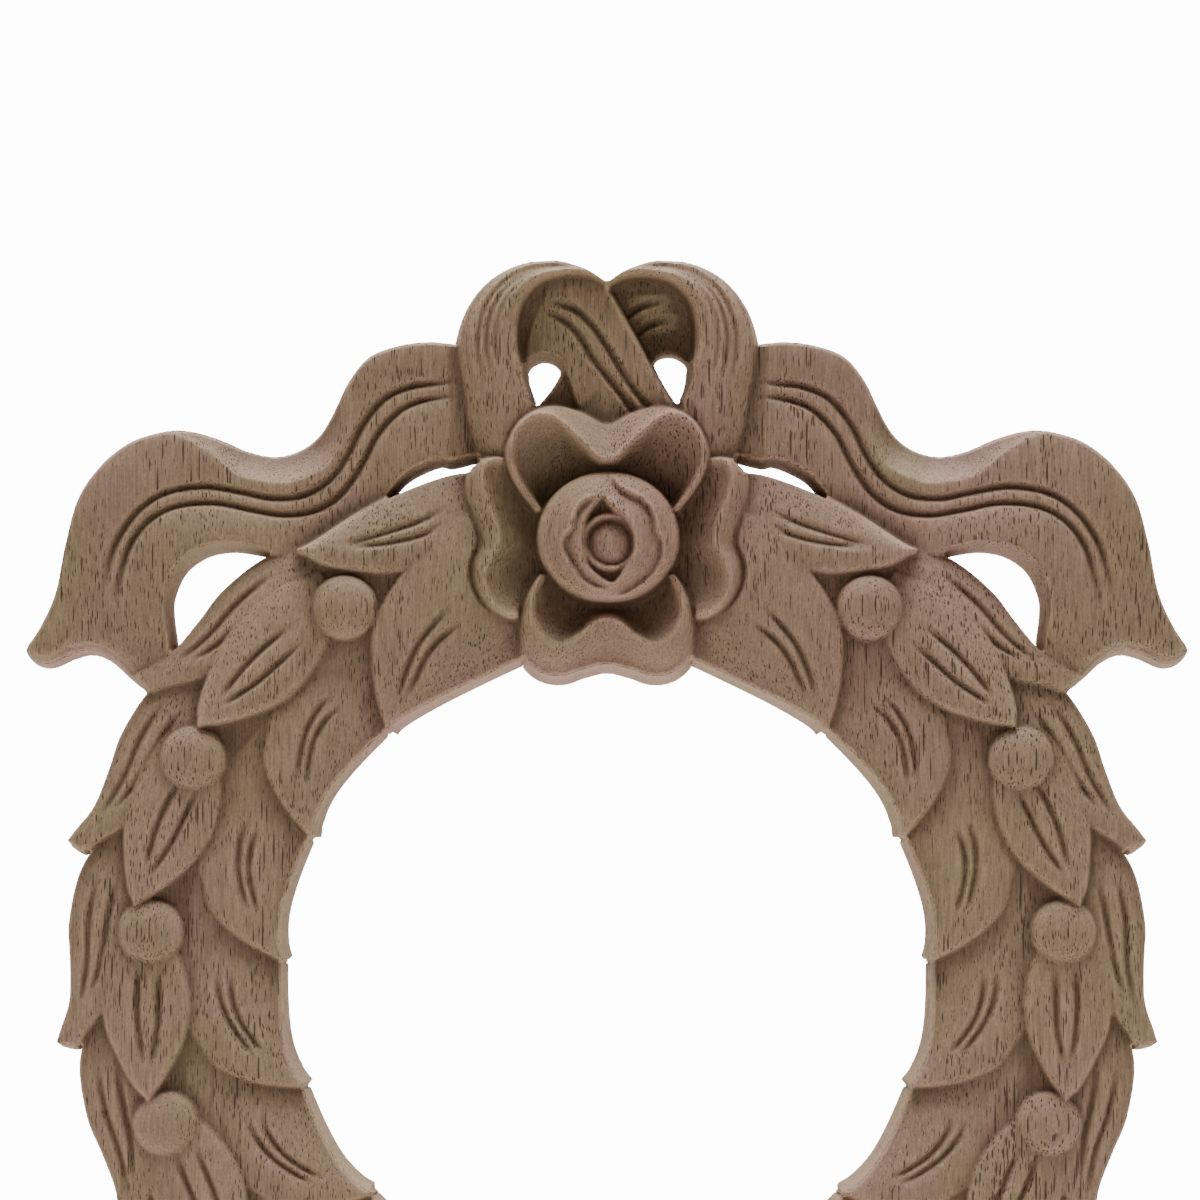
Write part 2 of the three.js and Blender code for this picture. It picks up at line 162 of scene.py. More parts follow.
def gouge(offset: Array, width: float) -> Array:
    """A cut with straight sides, as a parting tool leaves it: 1 on its line and 0 past its width."""
    return np.clip(1 - np.abs(offset) / width, 0, 1)


def edge_round(inward: Array, width: float) -> Array:
    """The rounding of an edge: 1 on the edge and past it, and 0 from a width inside it."""
    return np.clip(1 - np.maximum(inward, 0) / width, 0, 1) ** 2


def ease(value: Array, low: float, high: float) -> Array:
    """Goes smoothly from 0 at one value to 1 at another."""
    t = np.clip((value - low) / (high - low), 0, 1)
    return t * t * (3 - 2 * t)


def stroke(run: Array, span: Span) -> Array:
    """A tool's stroke: it grows to 1 between the first two values of a span and fades between the others."""
    return ease(run, *span[:2]) * (1 - ease(run, *span[2:]))


@dataclass
class Board:
    """The board that the wreath is carved from, as heights above its flat back.

    Attributes:
        half_width: From the middle to the side of the sheet, in millimetres.
        bottom: The lowest place of the sheet.
        top: The highest place of the sheet.
        pitch: The distance between two heights of the sheet.
        wall_slope: How steeply a form falls away past its own edge.
        empty_height: The height where nothing is carved.
        empty_inside: The distance inside the outline where nothing is carved.
        least_inside: The least distance inside for a place that is inside.
    """

    half_width: float = 102.5
    bottom: float = -169.0
    top: float = 50.5
    pitch: float = 0.25
    wall_slope: float = 6.0
    empty_height: float = -2.0
    empty_inside: float = -30.0
    least_inside: float = 0.02
    height: Array = field(init=False)
    inside: Array = field(init=False)

    def __post_init__(self) -> None:
        """Lays out the empty sheet."""
        self.x = np.arange(-self.half_width, self.half_width + self.pitch / 2, self.pitch)
        self.z = np.arange(self.bottom, self.top + self.pitch / 2, self.pitch)
        self.height = np.full((len(self.z), len(self.x)), self.empty_height)
        self.inside = np.full((len(self.z), len(self.x)), self.empty_inside)

    def window(self, reach: Array, margin: float = 2.5) -> tuple[slice, slice, Array]:
        """Picks the part of the sheet that holds some points.

        Args:
            reach: The points.
            margin: How far past them the part reaches.

        Returns:
            The rows, the columns, and the places in them, one row each.
        """
        low, high = reach.min(0) - margin, reach.max(0) + margin
        columns = slice(*np.searchsorted(self.x, (low[0], high[0])))
        rows = slice(*np.searchsorted(self.z, (low[1], high[1])))
        x, z = np.meshgrid(self.x[columns], self.z[rows])
        return rows, columns, np.column_stack([x.ravel(), z.ravel()])

    def carve(self, reach: Array, form: Form, join: Join = Join.RISE) -> None:
        """Carves one form into the sheet.

        Args:
            reach: Points that the form lies between.
            form: Gives the form's height at places, and their distance inside its outline.
            join: How the form meets what is there.
        """
        rows, columns, places = self.window(reach)
        heights, deep = form(places)
        shape = self.height[rows, columns].shape
        new = (heights + self.wall_slope * np.minimum(deep, 0)).reshape(shape)
        deep = deep.reshape(shape)
        old = self.height[rows, columns]
        if join is Join.COVER:
            old = old - self.wall_slope * np.maximum(deep, 0)
        self.height[rows, columns] = np.maximum(new, old)
        self.inside[rows, columns] = np.maximum(self.inside[rows, columns], deep)

    def pierce(self, outline: Array) -> None:
        """Cuts a hole right through the board.

        Args:
            outline: The hole's outline.
        """
        rows, columns, places = self.window(outline)
        deep = depth_inside(places, outline).reshape(self.inside[rows, columns].shape)
        self.inside[rows, columns] = np.minimum(self.inside[rows, columns], -deep)

    def mirror(self) -> None:
        """Carves the left half as the right half."""
        self.height = np.maximum(self.height, self.height[:, ::-1])
        self.inside = np.maximum(self.inside, self.inside[:, ::-1])

    def measure(self, reach: float = 2.0) -> None:
        """Measures how far each place is inside the finished outline.

        Args:
            reach: The greatest distance that is told apart, in millimetres.
        """
        cells = math.ceil(reach / self.pitch)
        outside = np.where(self.inside <= 0, self.inside, 2 * reach)
        best = np.full(self.inside.shape, reach)
        for row in range(-cells, cells + 1):
            for column in range(-cells, cells + 1):
                step = math.hypot(row, column) * self.pitch
                if step <= reach + self.pitch:
                    best = np.minimum(best, np.roll(outside, (row, column), (0, 1)) + step)
        self.inside = np.where(self.inside > 0, np.maximum(best, self.least_inside), self.inside)

    def soften(self, rounds: int = 1) -> None:
        """Sands the sheet: every height moves towards its neighbours'.

        Args:
            rounds: How many times.
        """
        for _ in range(rounds):
            for axis in (0, 1):
                before, after = np.roll(self.height, 1, axis), np.roll(self.height, -1, axis)
                self.height = 0.25 * before + 0.5 * self.height + 0.25 * after

    def hollows(self, spread: float = 1.4) -> Array:
        """Tells how far each place lies above what is round it, in millimetres.

        Args:
            spread: How far round it, in millimetres.

        Returns:
            A sheet that is below 0 in a hollow and above 0 on an edge.
        """
        wide = int(round(spread / self.pitch))
        past = 2 * wide + 2
        wood = (self.inside > 0).astype(float)
        sums = []
        for layer in (wood * self.height, wood):
            level = np.pad(layer, past, mode="edge")
            for _ in range(2):
                for axis in (0, 1):
                    run = np.cumsum(level, axis=axis)
                    level = (np.roll(run, -wide, axis) - np.roll(run, wide + 1, axis)) / (2 * wide + 1)
            sums.append(level[past:-past, past:-past])
        return wood * (self.height - sums[0] / np.maximum(sums[1], 0.01))

    def sample(self, sheet: Array, places: Array) -> Array:
        """Reads a sheet at places between its points.

        Args:
            sheet: The sheet, with a value for each of the board's points.
            places: The places, one row each.

        Returns:
            The value at each place.
        """
        last = 1.001  # steps before the end, to stay between two points of the sheet
        column = np.clip((places[:, 0] - self.x[0]) / self.pitch, 0, len(self.x) - last)
        row = np.clip((places[:, 1] - self.z[0]) / self.pitch, 0, len(self.z) - last)
        i, j = column.astype(int), row.astype(int)
        s, t = column - i, row - j
        near = sheet[j, i] * (1 - s) + sheet[j, i + 1] * s
        return near * (1 - t) + (sheet[j + 1, i] * (1 - s) + sheet[j + 1, i + 1] * s) * t


@dataclass
class Band:
    """A form between two edges, such as a leaf or a ribbon.

    Attributes:
        outer: The first edge, from the root to the tip.
        inner: The second edge, from the root to the tip.
        end: Points of the end between the two tips.
        tip_width: Where it is wider than this, in millimetres, the form at an edge holds past that edge.
    """

    outer: Array
    inner: Array
    end: Array = field(default_factory=lambda: np.empty((0, 2)))
    tip_width: float = 1.2

    def outline(self) -> Array:
        """The closed outline of the band."""
        return np.vstack([self.outer, self.end, self.inner[::-1]])

    def place(self, places: Array) -> tuple[Array, Array, Array, Array]:
        """Finds where places lie on the band.

        Args:
            places: The places, one row each.

        Returns:
            The share along the band, the share across it, its width there, and the distance inside it.
        """
        from_outer, along_outer = nearest(places, self.outer)
        from_inner, along_inner = nearest(places, self.inner)
        from_root, _ = nearest(places, np.vstack([self.outer[0], self.inner[0]]))
        from_end, _ = nearest(places, np.vstack([self.outer[-1], self.end, self.inner[-1]]))
        width = np.maximum(from_outer + from_inner, 1e-6)
        across = from_outer / width
        along = along_outer * (1 - across) + along_inner * across
        far = np.minimum(np.minimum(from_outer, from_inner), np.minimum(from_root, from_end))
        deep = np.where(within(places, self.outline()), far, -far)
        across = np.where((deep < 0) & (width > self.tip_width), np.round(across), across)
        return along, across, width, deep


@dataclass(frozen=True)
class Groove:
    """A groove of the bow with a fine crest along one side. Sizes are in millimetres.

    Attributes:
        depth: How deep it is.
        width: From its bottom to its edge.
        bottom: Where its bottom lies from the drawn line, as (right, up).
        crest_height: How high the crest stands.
        crest_side: Where the crest lies from the drawn line.
        span: The shares of its length where it begins, is full, starts to fade, and ends.
        crest_width: How far the crest reaches to either side.
    """

    depth: float
    width: float
    bottom: Pair
    crest_height: float
    crest_side: Pair
    span: Span
    crest_width: float = 0.4

    def cut(self, places: Array, line: Array) -> Array:
        """Gives how much wood the groove takes away.

        Args:
            places: The places, one row each.
            line: The groove's drawn line.

        Returns:
            What is taken off the height at each place.
        """
        far, run = nearest(places - self.bottom, line)
        lit, _ = nearest(places - self.crest_side, line)
        taken = self.depth * gouge(far, self.width) - self.crest_height * crest(lit, self.crest_width)
        return taken * ease(run, *self.span[:2]) * (1 - ease(run, *self.span[2:]))


@dataclass(frozen=True)
class LeafRow:
    """One row of leaves round the ring. Edges are (degrees before the tip, share across the ring).

    Attributes:
        tips: The angle of each leaf's tip from the rose, in degrees.
        outer: The outer edge, from the root to the tip.
        inner: The inner edge, from the root to the tip.
        lift: How far the root and the tip stand above the ground.
        crown: How far the leaf's middle stands above its edges.
        grooves: The two grooves, from the root to the tip.
        groove_depth: How deep they are.
    """

    tips: tuple[float, ...]
    outer: Pairs
    inner: Pairs
    lift: Pair
    crown: float
    grooves: tuple[Pairs, Pairs]
    groove_depth: float


@dataclass
class LaurelRing:
    """The ring: its ground, three rows of leaves and the berries between them."""

    hole_radius: float = 54.5
    band_width: float = 38.0
    centre_z: float = -72.7
    rim_height: float = 6.4
    crown_rise: float = 3.4
    crown_power: float = 2.2
    crown_reach: float = 1.25  # half widths from the ring's middle line to where the ground stops falling
    bare_rims: Pair = (1.9, 5.3)  # mm, the ground stops short of the leaves' edges
    leaf_power: float = 2.6  # how flat a leaf's middle is
    leaf_start: Pair = (-0.3, 0.3)  # shares of its length over which a leaf's crown grows
    groove_width: float = 0.8
    groove_span: Span = (0, 0.3, 0.75, 1)
    berry_radius: float = 5.7
    berry_foot: float = 9.9
    berry_rise: float = 3.6
    berry_power: float = 0.9
    berry_places: Pairs = ((36, 0.57), (63.1, 0.645), (85.3, 0.615), (109.3, 0.655), (132.8, 0.645),
                           (156.3, 0.645), (180, 0.645))
    rows: tuple[LeafRow, ...] = (
        LeafRow(  # outer row
            tips=(58.2, 76.8, 97.8, 118.8, 139.8, 160.8, 181.2),
            outer=((25, 0.88), (19, 0.985), (13, 1.01), (8.6, 0.995), (4.5, 1.0), (1.6, 1.05), (0, 1.08)),
            inner=((25, 0.66), (15, 0.6), (8, 0.68), (3.5, 0.81), (1, 0.91), (-0.7, 0.98), (0, 1.08)),
            lift=(-0.6, 1.7), crown=0.7,
            grooves=(((19, 0.885), (16, 0.9), (12.5, 0.905), (8.5, 0.9), (5, 0.925), (2.8, 0.955)),
                     ((19, 0.79), (16, 0.81), (12.5, 0.82), (9, 0.835), (6, 0.87), (4, 0.91))),
            groove_depth=1.2),
        LeafRow(  # inner row, along the hole
            tips=(66.4, 88.9, 111.6, 134, 157, 180.6),
            outer=((27, 0.4), (15, 0.465), (10.8, 0.42), (7.4, 0.365), (4.3, 0.25), (1.9, 0.13),
                   (0, 0.015)),
            inner=((27, 0.03), (16, 0.03), (9, 0.04), (4, 0.03), (1.2, 0.01), (0, -0.005)),
            lift=(-0.5, 1.9), crown=0.9,
            grooves=(((22.2, 0.31), (18.6, 0.31), (15.2, 0.29), (12.2, 0.255), (9.4, 0.215), (7, 0.17)),
                     ((22, 0.245), (18.4, 0.255), (15, 0.24), (12.2, 0.21), (9, 0.165), (7, 0.13))),
            groove_depth=1.3),
        LeafRow(  # middle row
            tips=(59.4, 82.4, 106.1, 129.6, 153, 174.5),
            outer=((23.7, 0.78), (18.6, 0.83), (13.9, 0.845), (9.4, 0.83), (5.7, 0.79), (2.1, 0.745),
                   (0, 0.695)),
            inner=((23.7, 0.6), (18, 0.48), (11.8, 0.435), (7.4, 0.47), (4.2, 0.54), (1.5, 0.625),
                   (0, 0.695)),
            lift=(0.3, 2.6), crown=0.9,
            grooves=(((17.5, 0.655), (13.2, 0.67), (9.8, 0.677), (6.5, 0.677), (3.5, 0.675)),
                     ((17.3, 0.57), (12.6, 0.575), (8.9, 0.59), (5.8, 0.625), (3, 0.665))),
            groove_depth=1.3),
        LeafRow(  # the inner leaf beside the rose
            tips=(43.1,),
            outer=((31, 0.72), (22, 0.7), (15.7, 0.57), (9.5, 0.45), (5.8, 0.31), (2.5, 0.155), (0, 0.01)),
            inner=((31, 0.02), (23, -0.01), (11, -0.01), (3, 0.01), (0, -0.005)),
            lift=(0.3, 1.9), crown=0.9,
            grooves=(((20.5, 0.35), (15.9, 0.29), (12.6, 0.245), (8.7, 0.17), (4.5, 0.085)),
                     ((21, 0.26), (16.6, 0.228), (13.2, 0.19), (9.4, 0.125), (6, 0.075))),
            groove_depth=1.3),
        LeafRow(  # the outer leaf beside the rose
            tips=(36.4,),
            outer=((25, 0.87), (21, 0.9), (17.9, 0.915), (12.4, 0.915), (7.3, 0.905), (3, 0.895), (0, 0.9)),
            inner=((25, 0.6), (19.1, 0.595), (15.2, 0.545), (9.7, 0.565), (5.1, 0.645), (1.5, 0.77),
                   (0, 0.9)),
            lift=(-1.4, 3.1), crown=0.9,
            grooves=(((17.5, 0.76), (13.7, 0.745), (10.2, 0.755), (6.2, 0.785), (4, 0.81)),
                     ((17.3, 0.69), (13, 0.685), (9.6, 0.71), (6.6, 0.75), (4.6, 0.785))),
            groove_depth=1.1),
    )

    def at(self, angle: Array, share: Array) -> Array:
        """Turns angles and shares across the ring into places on the right half.

        Args:
            angle: The angles from the rose, in degrees.
            share: The shares across the ring, 0 at the hole and 1 at the outside.

        Returns:
            The places, one row each.
        """
        radius = self.hole_radius + share * self.band_width
        turn = np.radians(angle)
        return np.column_stack([radius * np.sin(turn), self.centre_z + radius * np.cos(turn)])

    def radius(self, places: Array) -> Array:
        """The distance of places from the middle of the ring."""
        return np.hypot(places[:, 0], places[:, 1] - self.centre_z)

    def ground(self, places: Array) -> Array:
        """Gives the height of the ring's crowned ground.

        Args:
            places: The places, one row each.

        Returns:
            The height at each place.
        """
        share = (self.radius(places) - self.hole_radius) / self.band_width
        bend = np.minimum(np.abs(2 * share - 1), self.crown_reach) ** self.crown_power
        return self.rim_height + self.crown_rise * (1 - bend)

    def curve(self, tip: float, line: Pairs, count: int) -> Array:
        """Draws an edge or a groove of a leaf.

        Args:
            tip: The angle of the leaf's tip.
            line: Its points, as (degrees before the tip, share across the ring).
            count: How many points to return.

        Returns:
            The curve's points, one row each.
        """
        before, share = np.array(line, float).T
        return spline(self.at(tip - before, share), count)

    def leaf(self, board: Board, tip: float, row: LeafRow) -> None:
        """Carves one leaf of the right half.

        Args:
            board: The board to carve.
            tip: The angle of the leaf's tip.
            row: The row it belongs to.
        """
        band = Band(*(self.curve(tip, edge, count=44) for edge in (row.outer, row.inner)))
        lines = [self.curve(tip, groove, count=40) for groove in row.grooves]

        def form(places: Array) -> tuple[Array, Array]:
            """Gives the leaf's form.

            Args:
                places: The places, one row each.

            Returns:
                The heights, and the distances inside the outline.
            """
            along, across, _, deep = band.place(places)
            low, high = row.lift
            top = self.ground(places) + low + (high - low) * along
            round_top = 1 - np.abs(2 * across - 1) ** self.leaf_power
            top += row.crown * round_top * ease(along, *self.leaf_start)
            for line in lines:
                far, run = nearest(places, line)
                top -= row.groove_depth * stroke(run, self.groove_span) * gouge(far, self.groove_width)
            return top - EDGE_DROP * edge_round(deep, EDGE_WIDTH), deep

        board.carve(band.outline(), form)

    def berry(self, board: Board, middle: Array) -> None:
        """Carves one berry, a flattened ball.

        Args:
            board: The board to carve.
            middle: The place of the berry's middle.
        """
        def ball(places: Array) -> tuple[Array, Array]:
            """Gives the ball's form.

            Args:
                places: The places, one row each.

            Returns:
                The heights, and the distances inside the outline.
            """
            off = np.hypot(*(places - middle).T)
            swell = np.sqrt(np.maximum(1 - (off / self.berry_radius) ** 2, 0))
            return self.berry_foot + self.berry_rise * swell ** self.berry_power, self.berry_radius - off

        board.carve(middle + self.berry_radius * np.array([[-1, -1], [1, 1]]), ball)

    def carve(self, board: Board) -> None:
        """Carves the ground, the leaves and the berries.

        Args:
            board: The board to carve.
        """
        low = self.hole_radius + self.bare_rims[0]
        high = self.hole_radius + self.band_width - self.bare_rims[1]

        def plain(places: Array) -> tuple[Array, Array]:
            """Gives the ground's form.

            Args:
                places: The places, one row each.

            Returns:
                The heights, and the distances inside the outline.
            """
            radius = self.radius(places)
            return self.ground(places), np.minimum(radius - low, high - radius)

        board.carve(np.array([[-high, self.centre_z - high], [high, self.centre_z + high]]), plain)
        for row in self.rows:
            for tip in row.tips:
                self.leaf(board, tip, row)
        for angle, share in self.berry_places:
            self.berry(board, self.at(np.array([angle]), np.array([share])))
        board.mirror()


@dataclass
class RibbonTails:
    """The two waving tails of the ribbon. Edges are millimetres from the middle of the rose."""

    ribbon_height: float = 8.2
    wave: float = 1.6
    wave_count: float = 1.45  # waves from the root to the end
    wave_start: float = 0.05  # of a wave, where the first one begins
    root_drop: float = 3.0  # the tails come out from under the bow
    root_span: Pair = (0.02, 0.22)  # shares of the length over which they rise from it
    facet_slope: float = 0.95
    end_slope: float = 1.7
    end_width: float = 1.5
    flute_depth: float = 1.5
    flute_width: float = 0.85
    flute_span: Span = (0, 0.12, 0.86, 1.06)
    flute_dip: Pair = (0.3, 2.6)  # mm deep and wide, the soft hollow that a flute lies in
    flutes: tuple[Pairs, Pairs] = (
        ((24, 28.2), (30.3, 27.7), (33.6, 27.2), (38.3, 25.1), (42, 20.6), (44.5, 15.6), (47.6, 11.4),
         (52.1, 8.7), (57.3, 8.1), (62.7, 9.1), (69.1, 10), (75.5, 8.8), (80.2, 5.7), (83.6, 1),
         (85.2, -3.3), (86.1, -7.8)),
        ((24, 25.4), (29.8, 25.2), (35, 23.4), (39.1, 19.4), (42, 14), (45.4, 9.1), (49.7, 6.2),
         (55.2, 5.2), (61.1, 6), (67, 7.1), (73.2, 6.6), (78.1, 4.2), (81.5, 0), (83.3, -5.4),
         (84.2, -9.9)))
    brim: Pairs = ((43.4, 29.2), (44.9, 25.5), (44.9, 20.7), (45.8, 16.8), (48.2, 13.5), (53, 11.1),
                   (56.9, 10.6), (62.6, 11.6), (65.5, 13.5), (68.4, 15.9), (74.1, 18.7), (79.9, 18.1))
    upper: Pairs = ((18, 34.4), (26.5, 35), (30.6, 35.3), (35.8, 34.6), (41, 32.6), (44.5, 28.6),
                    (46.7, 24.4), (49.4, 20), (53, 17.1), (57.5, 15.9), (62.3, 16.8), (67.7, 18.9),
                    (73.2, 20.1), (78.4, 19.2), (82.6, 17.4), (87, 13.7), (90.9, 8), (93.2, 0),
                    (94.9, -8.1), (97.6, -14), (100.4, -18))
    lower: Pairs = ((18, 16.4), (26.1, 14.2), (28.7, 14.4), (32.2, 13.1), (35, 11.3), (37.6, 8.3),
                    (41.5, 3.8), (46.2, 0), (51, -2), (54.9, -2.2), (60.1, -0.9), (64.8, -0.3),
                    (69.3, -1.2), (73.1, -4), (75.1, -8.3), (75.3, -11.8), (74.6, -17.3), (74.9, -22),
                    (76.8, -25.8))
    end: Pairs = ((100.4, -18), (98.6, -20), (95.8, -20.6), (92, -19), (88.5, -18.3), (85.2, -19.8),
                  (81.4, -23.2), (76.8, -25.8))

    def carve(self, board: Board) -> None:
        """Carves the right tail, and the left one as its mirror.

        Args:
            board: The board to carve.
        """
        upper, lower = (spline(edge, count=150) for edge in (self.upper, self.lower))
        end = spline(self.end, count=40)
        band = Band(upper, lower, end[1:-1])
        facet_width, facet_run = nearest(spline(self.brim, count=90), upper)
        flutes = [spline(line, count=120) for line in self.flutes]

        def form(places: Array) -> tuple[Array, Array]:
            """Gives the tail's form.

            Args:
                places: The places, one row each.

            Returns:
                The heights, and the distances inside the outline.
            """
            along, _, _, deep = band.place(places)
            from_edge, run = nearest(places, upper)
            from_end, _ = nearest(places, end)
            turns = along * self.wave_count - self.wave_start
            top = self.ribbon_height + self.wave * np.cos(2 * math.pi * turns)
            top -= self.root_drop * (1 - ease(along, *self.root_span))
            top -= self.facet_slope * np.maximum(np.interp(run, facet_run, facet_width) - from_edge, 0)
            top -= self.end_slope * np.maximum(self.end_width - from_end, 0)
            for line in flutes:
                far, share = nearest(places, line)
                dip = self.flute_dip[0] * crest(far, self.flute_dip[1])
                cut = self.flute_depth * gouge(far, self.flute_width) + dip
                top -= stroke(share, self.flute_span) * cut
            return top - EDGE_DROP * edge_round(deep, EDGE_WIDTH), deep

        board.carve(band.outline(), form)
        board.mirror()


@dataclass
class Bow:
    """The bow: what shows inside its loops, the band that crosses over, and the two loop bands."""

    outer_height: float = 7.0
    crown_height: float = 12.2
    lip_height: float = 10.8
    inside_height: float = 2.6
    inside_rise: float = 4.0
    inside_span: Pair = (31, 45.5)  # mm up, where the inside of the right loop rises
    left_inside: tuple[float, float, float] = (5.0, 0.12, 20)  # mm high, rise per mm, and from where
    inner_groove: Groove = Groove(depth=1.3, width=0.8, bottom=(0, 0), crest_height=0.4,
                                  crest_side=(-0.1, -0.85), span=(-1, 0, 0.5, 1))
    crossing_height: float = 8.9
    crossing_groove: Groove = Groove(depth=1.3, width=0.95, bottom=(0.6, 0.6), crest_height=0.35,
                                     crest_side=(0, 0), span=(0, 0.2, 0.9, 1))
    crossing_edge: float = 0.4  # mm, the rounding of its edges
    crossing_fall: Pair = (1.2, 1.4)  # mm that its left edge lies lower, and the power of its curve
    tuck: float = 2.2  # mm that the band dips where it comes out of the left loop
    tuck_span: Pair = (0.05, 0.5)
    tuck_right: float = 0.35  # share of the dip that its right edge takes
    bead: Pair = (0.5, 0.9)  # mm high and wide, along the band's right edge
    loop_slope: float = 1.25  # a loop rises by no more than this share of its width
    loop_crown: Pair = (0.62, 0.8)  # where across a loop its crown lies, and the power of its curve
    loop_lip: Pair = (0.6, 1.5)  # where across a loop its lip starts to fall, and the power of its curve
    loop_flutes: Pairs = ((0.38, 1.2), (0.52, 1.4), (0.66, 0.9))  # share across a loop, and mm deep
    loop_flute_width: float = 0.8
    loop_flute_span: Span = (0.3, 0.5, 0.82, 0.96)
    loop_edge: Pair = (0.7, 0.8)  # mm deep and wide, the rounding of its edges
    loop_outer: Pairs = ((14, 8), (20.5, 11), (23.9, 19.9), (25, 26.3), (25.8, 31), (26, 34.5), (25.3, 38),
                         (24.1, 41.2), (22.2, 44), (19.8, 46.2), (17, 47.8), (13.9, 48.8), (10.8, 49.1),
                         (7.7, 48.9), (5, 48.1), (2.4, 46.9), (-0.3, 45.1))
    loop_inner: Pairs = ((8, 10), (11, 17), (12.9, 23.3), (13.9, 27), (14.6, 30), (15.4, 33), (15.6, 35.8),
                         (15.3, 38.5), (14.5, 41.2), (13.1, 43.2), (11.2, 44.8), (8.8, 45.7), (6.2, 46.1),
                         (3.6, 45.8), (1.5, 44.9), (-0.3, 43.5))
    crossing_right: Pairs = ((-16, 46.6), (-12.4, 47.3), (-8.8, 47.5), (-5.3, 47), (-2.8, 46), (-1, 44.9),
                             (0.4, 43.5), (1.7, 41.3), (3.4, 38.1), (5.2, 34.7), (7.1, 30.9),
                             (8.9, 27.7), (10.8, 24.6), (13, 20.8))
    crossing_left: Pairs = ((-19.6, 37), (-17.4, 34.4), (-15.4, 32.2), (-13.6, 31.3), (-12.7, 32),
                            (-10.9, 32.4), (-9, 31.9), (-7.7, 30.6), (-6.6, 28.4), (-5.4, 24.6),
                            (-4, 21.4), (-1.2, 17.5))
    grooves: tuple[Pairs, Pairs] = (
        ((-11.6, 41.3), (-8.7, 40.9), (-5.9, 39.6), (-3.4, 37.2), (-1, 33.8), (1.2, 30.1), (3.4, 26.7),
         (6.4, 22.8), (8.6, 19.6)),
        ((-12, 39.7), (-9.6, 38.9), (-7.5, 37.5), (-5.3, 35), (-3.1, 31.3), (-0.7, 28.2), (2.7, 23.8),
         (5, 20.4)))
    inner_grooves: tuple[Pairs, Pairs] = (((1.6, 38), (3.6, 39.8), (6.2, 41.3), (10.6, 42.4)),
                                          ((3.5, 35), (5.5, 37), (8, 38.4), (12, 39.3)))
    right_floor: Pairs = ((-1, 44), (2, 46.2), (7, 47), (12.6, 46), (16.6, 41), (17.2, 36), (16, 28),
                          (14, 21), (9, 20), (5, 30))
    left_floor: Pairs = ((-13, 32.6), (-8, 32.6), (-3, 26), (-2, 17), (-10, 15), (-16, 20), (-17, 28),
                         (-16.4, 33))
    right_eye: Pairs = ((8, 31.8), (8.9, 32.8), (10.5, 33.2), (12.1, 32.9), (13.6, 31.8), (14.2, 30.4),
                        (14.1, 28.6), (13.6, 26.7), (12.8, 25.3), (12, 25), (11.3, 25.7), (10.1, 27.4),
                        (8.9, 29.6))
    left_eye: Pairs = ((-14, 30.4), (-12.9, 31.8), (-10.9, 32.6), (-8.9, 32.1), (-7.7, 30.8), (-8.2, 29.3),
                       (-9.4, 27.4), (-10.8, 25.7), (-11.7, 24.7), (-12.3, 24.5), (-12.9, 25.5),
                       (-13.5, 27.2), (-14, 28.8))

    def floors(self, board: Board) -> None:
        """Carves what shows deep inside the loops.

        Args:
            board: The board to carve.
        """
        right, left = np.array(self.right_floor, float), np.array(self.left_floor, float)
        lines = [spline(line, count=40) for line in self.inner_grooves]

        def deep_right(places: Array) -> tuple[Array, Array]:
            """Gives the form of what shows inside the right loop.

            Args:
                places: The places, one row each.

            Returns:
                The heights, and the distances inside the outline.
            """
            fall = self.inside_height + self.inside_rise * ease(places[:, 1], *self.inside_span)
            for line in lines:
                fall = fall - self.inner_groove.cut(places, line)
            return fall, depth_inside(places, right)

        def deep_left(places: Array) -> tuple[Array, Array]:
            """Gives the form of what shows inside the left loop.

            Args:
                places: The places, one row each.

            Returns:
                The heights, and the distances inside the outline.
            """
            height, rise, start = self.left_inside
            return height + rise * (places[:, 1] - start), depth_inside(places, left)

        board.carve(right, deep_right)
        board.carve(left, deep_left)

    def crossing(self, board: Board) -> None:
        """Carves the band that comes out of the left loop and crosses to the lower right.

        Args:
            board: The board to carve.
        """
        band = Band(*(spline(edge, count=150) for edge in (self.crossing_right, self.crossing_left)))
        lines = [spline(line, count=80) for line in self.grooves]

        def form(places: Array) -> tuple[Array, Array]:
            """Gives the band's form.

            Args:
                places: The places, one row each.

            Returns:
                The heights, and the distances inside the outline.
            """
            along, across, width, deep = band.place(places)
            side_share = self.tuck_right + (1 - self.tuck_right) * across
            dip = self.tuck * (1 - ease(along, *self.tuck_span)) * side_share
            fall = self.crossing_height - dip - self.crossing_fall[0] * across ** self.crossing_fall[1]
            for line in lines:
                fall = fall - self.crossing_groove.cut(places, line)
            fall = fall + self.bead[0] * np.clip(1 - across * width / self.bead[1], 0, 1)
            return fall - EDGE_DROP * edge_round(deep, self.crossing_edge), deep

        board.carve(band.outline(), form, Join.COVER)

    def loop(self, board: Board, side: int) -> None:
        """Carves one loop band.

        Args:
            board: The board to carve.
            side: 1 for the right one and -1 for the left one.
        """
        band = Band(*(spline(np.array(edge, float) * (side, 1), count=200)
                      for edge in (self.loop_outer, self.loop_inner)))

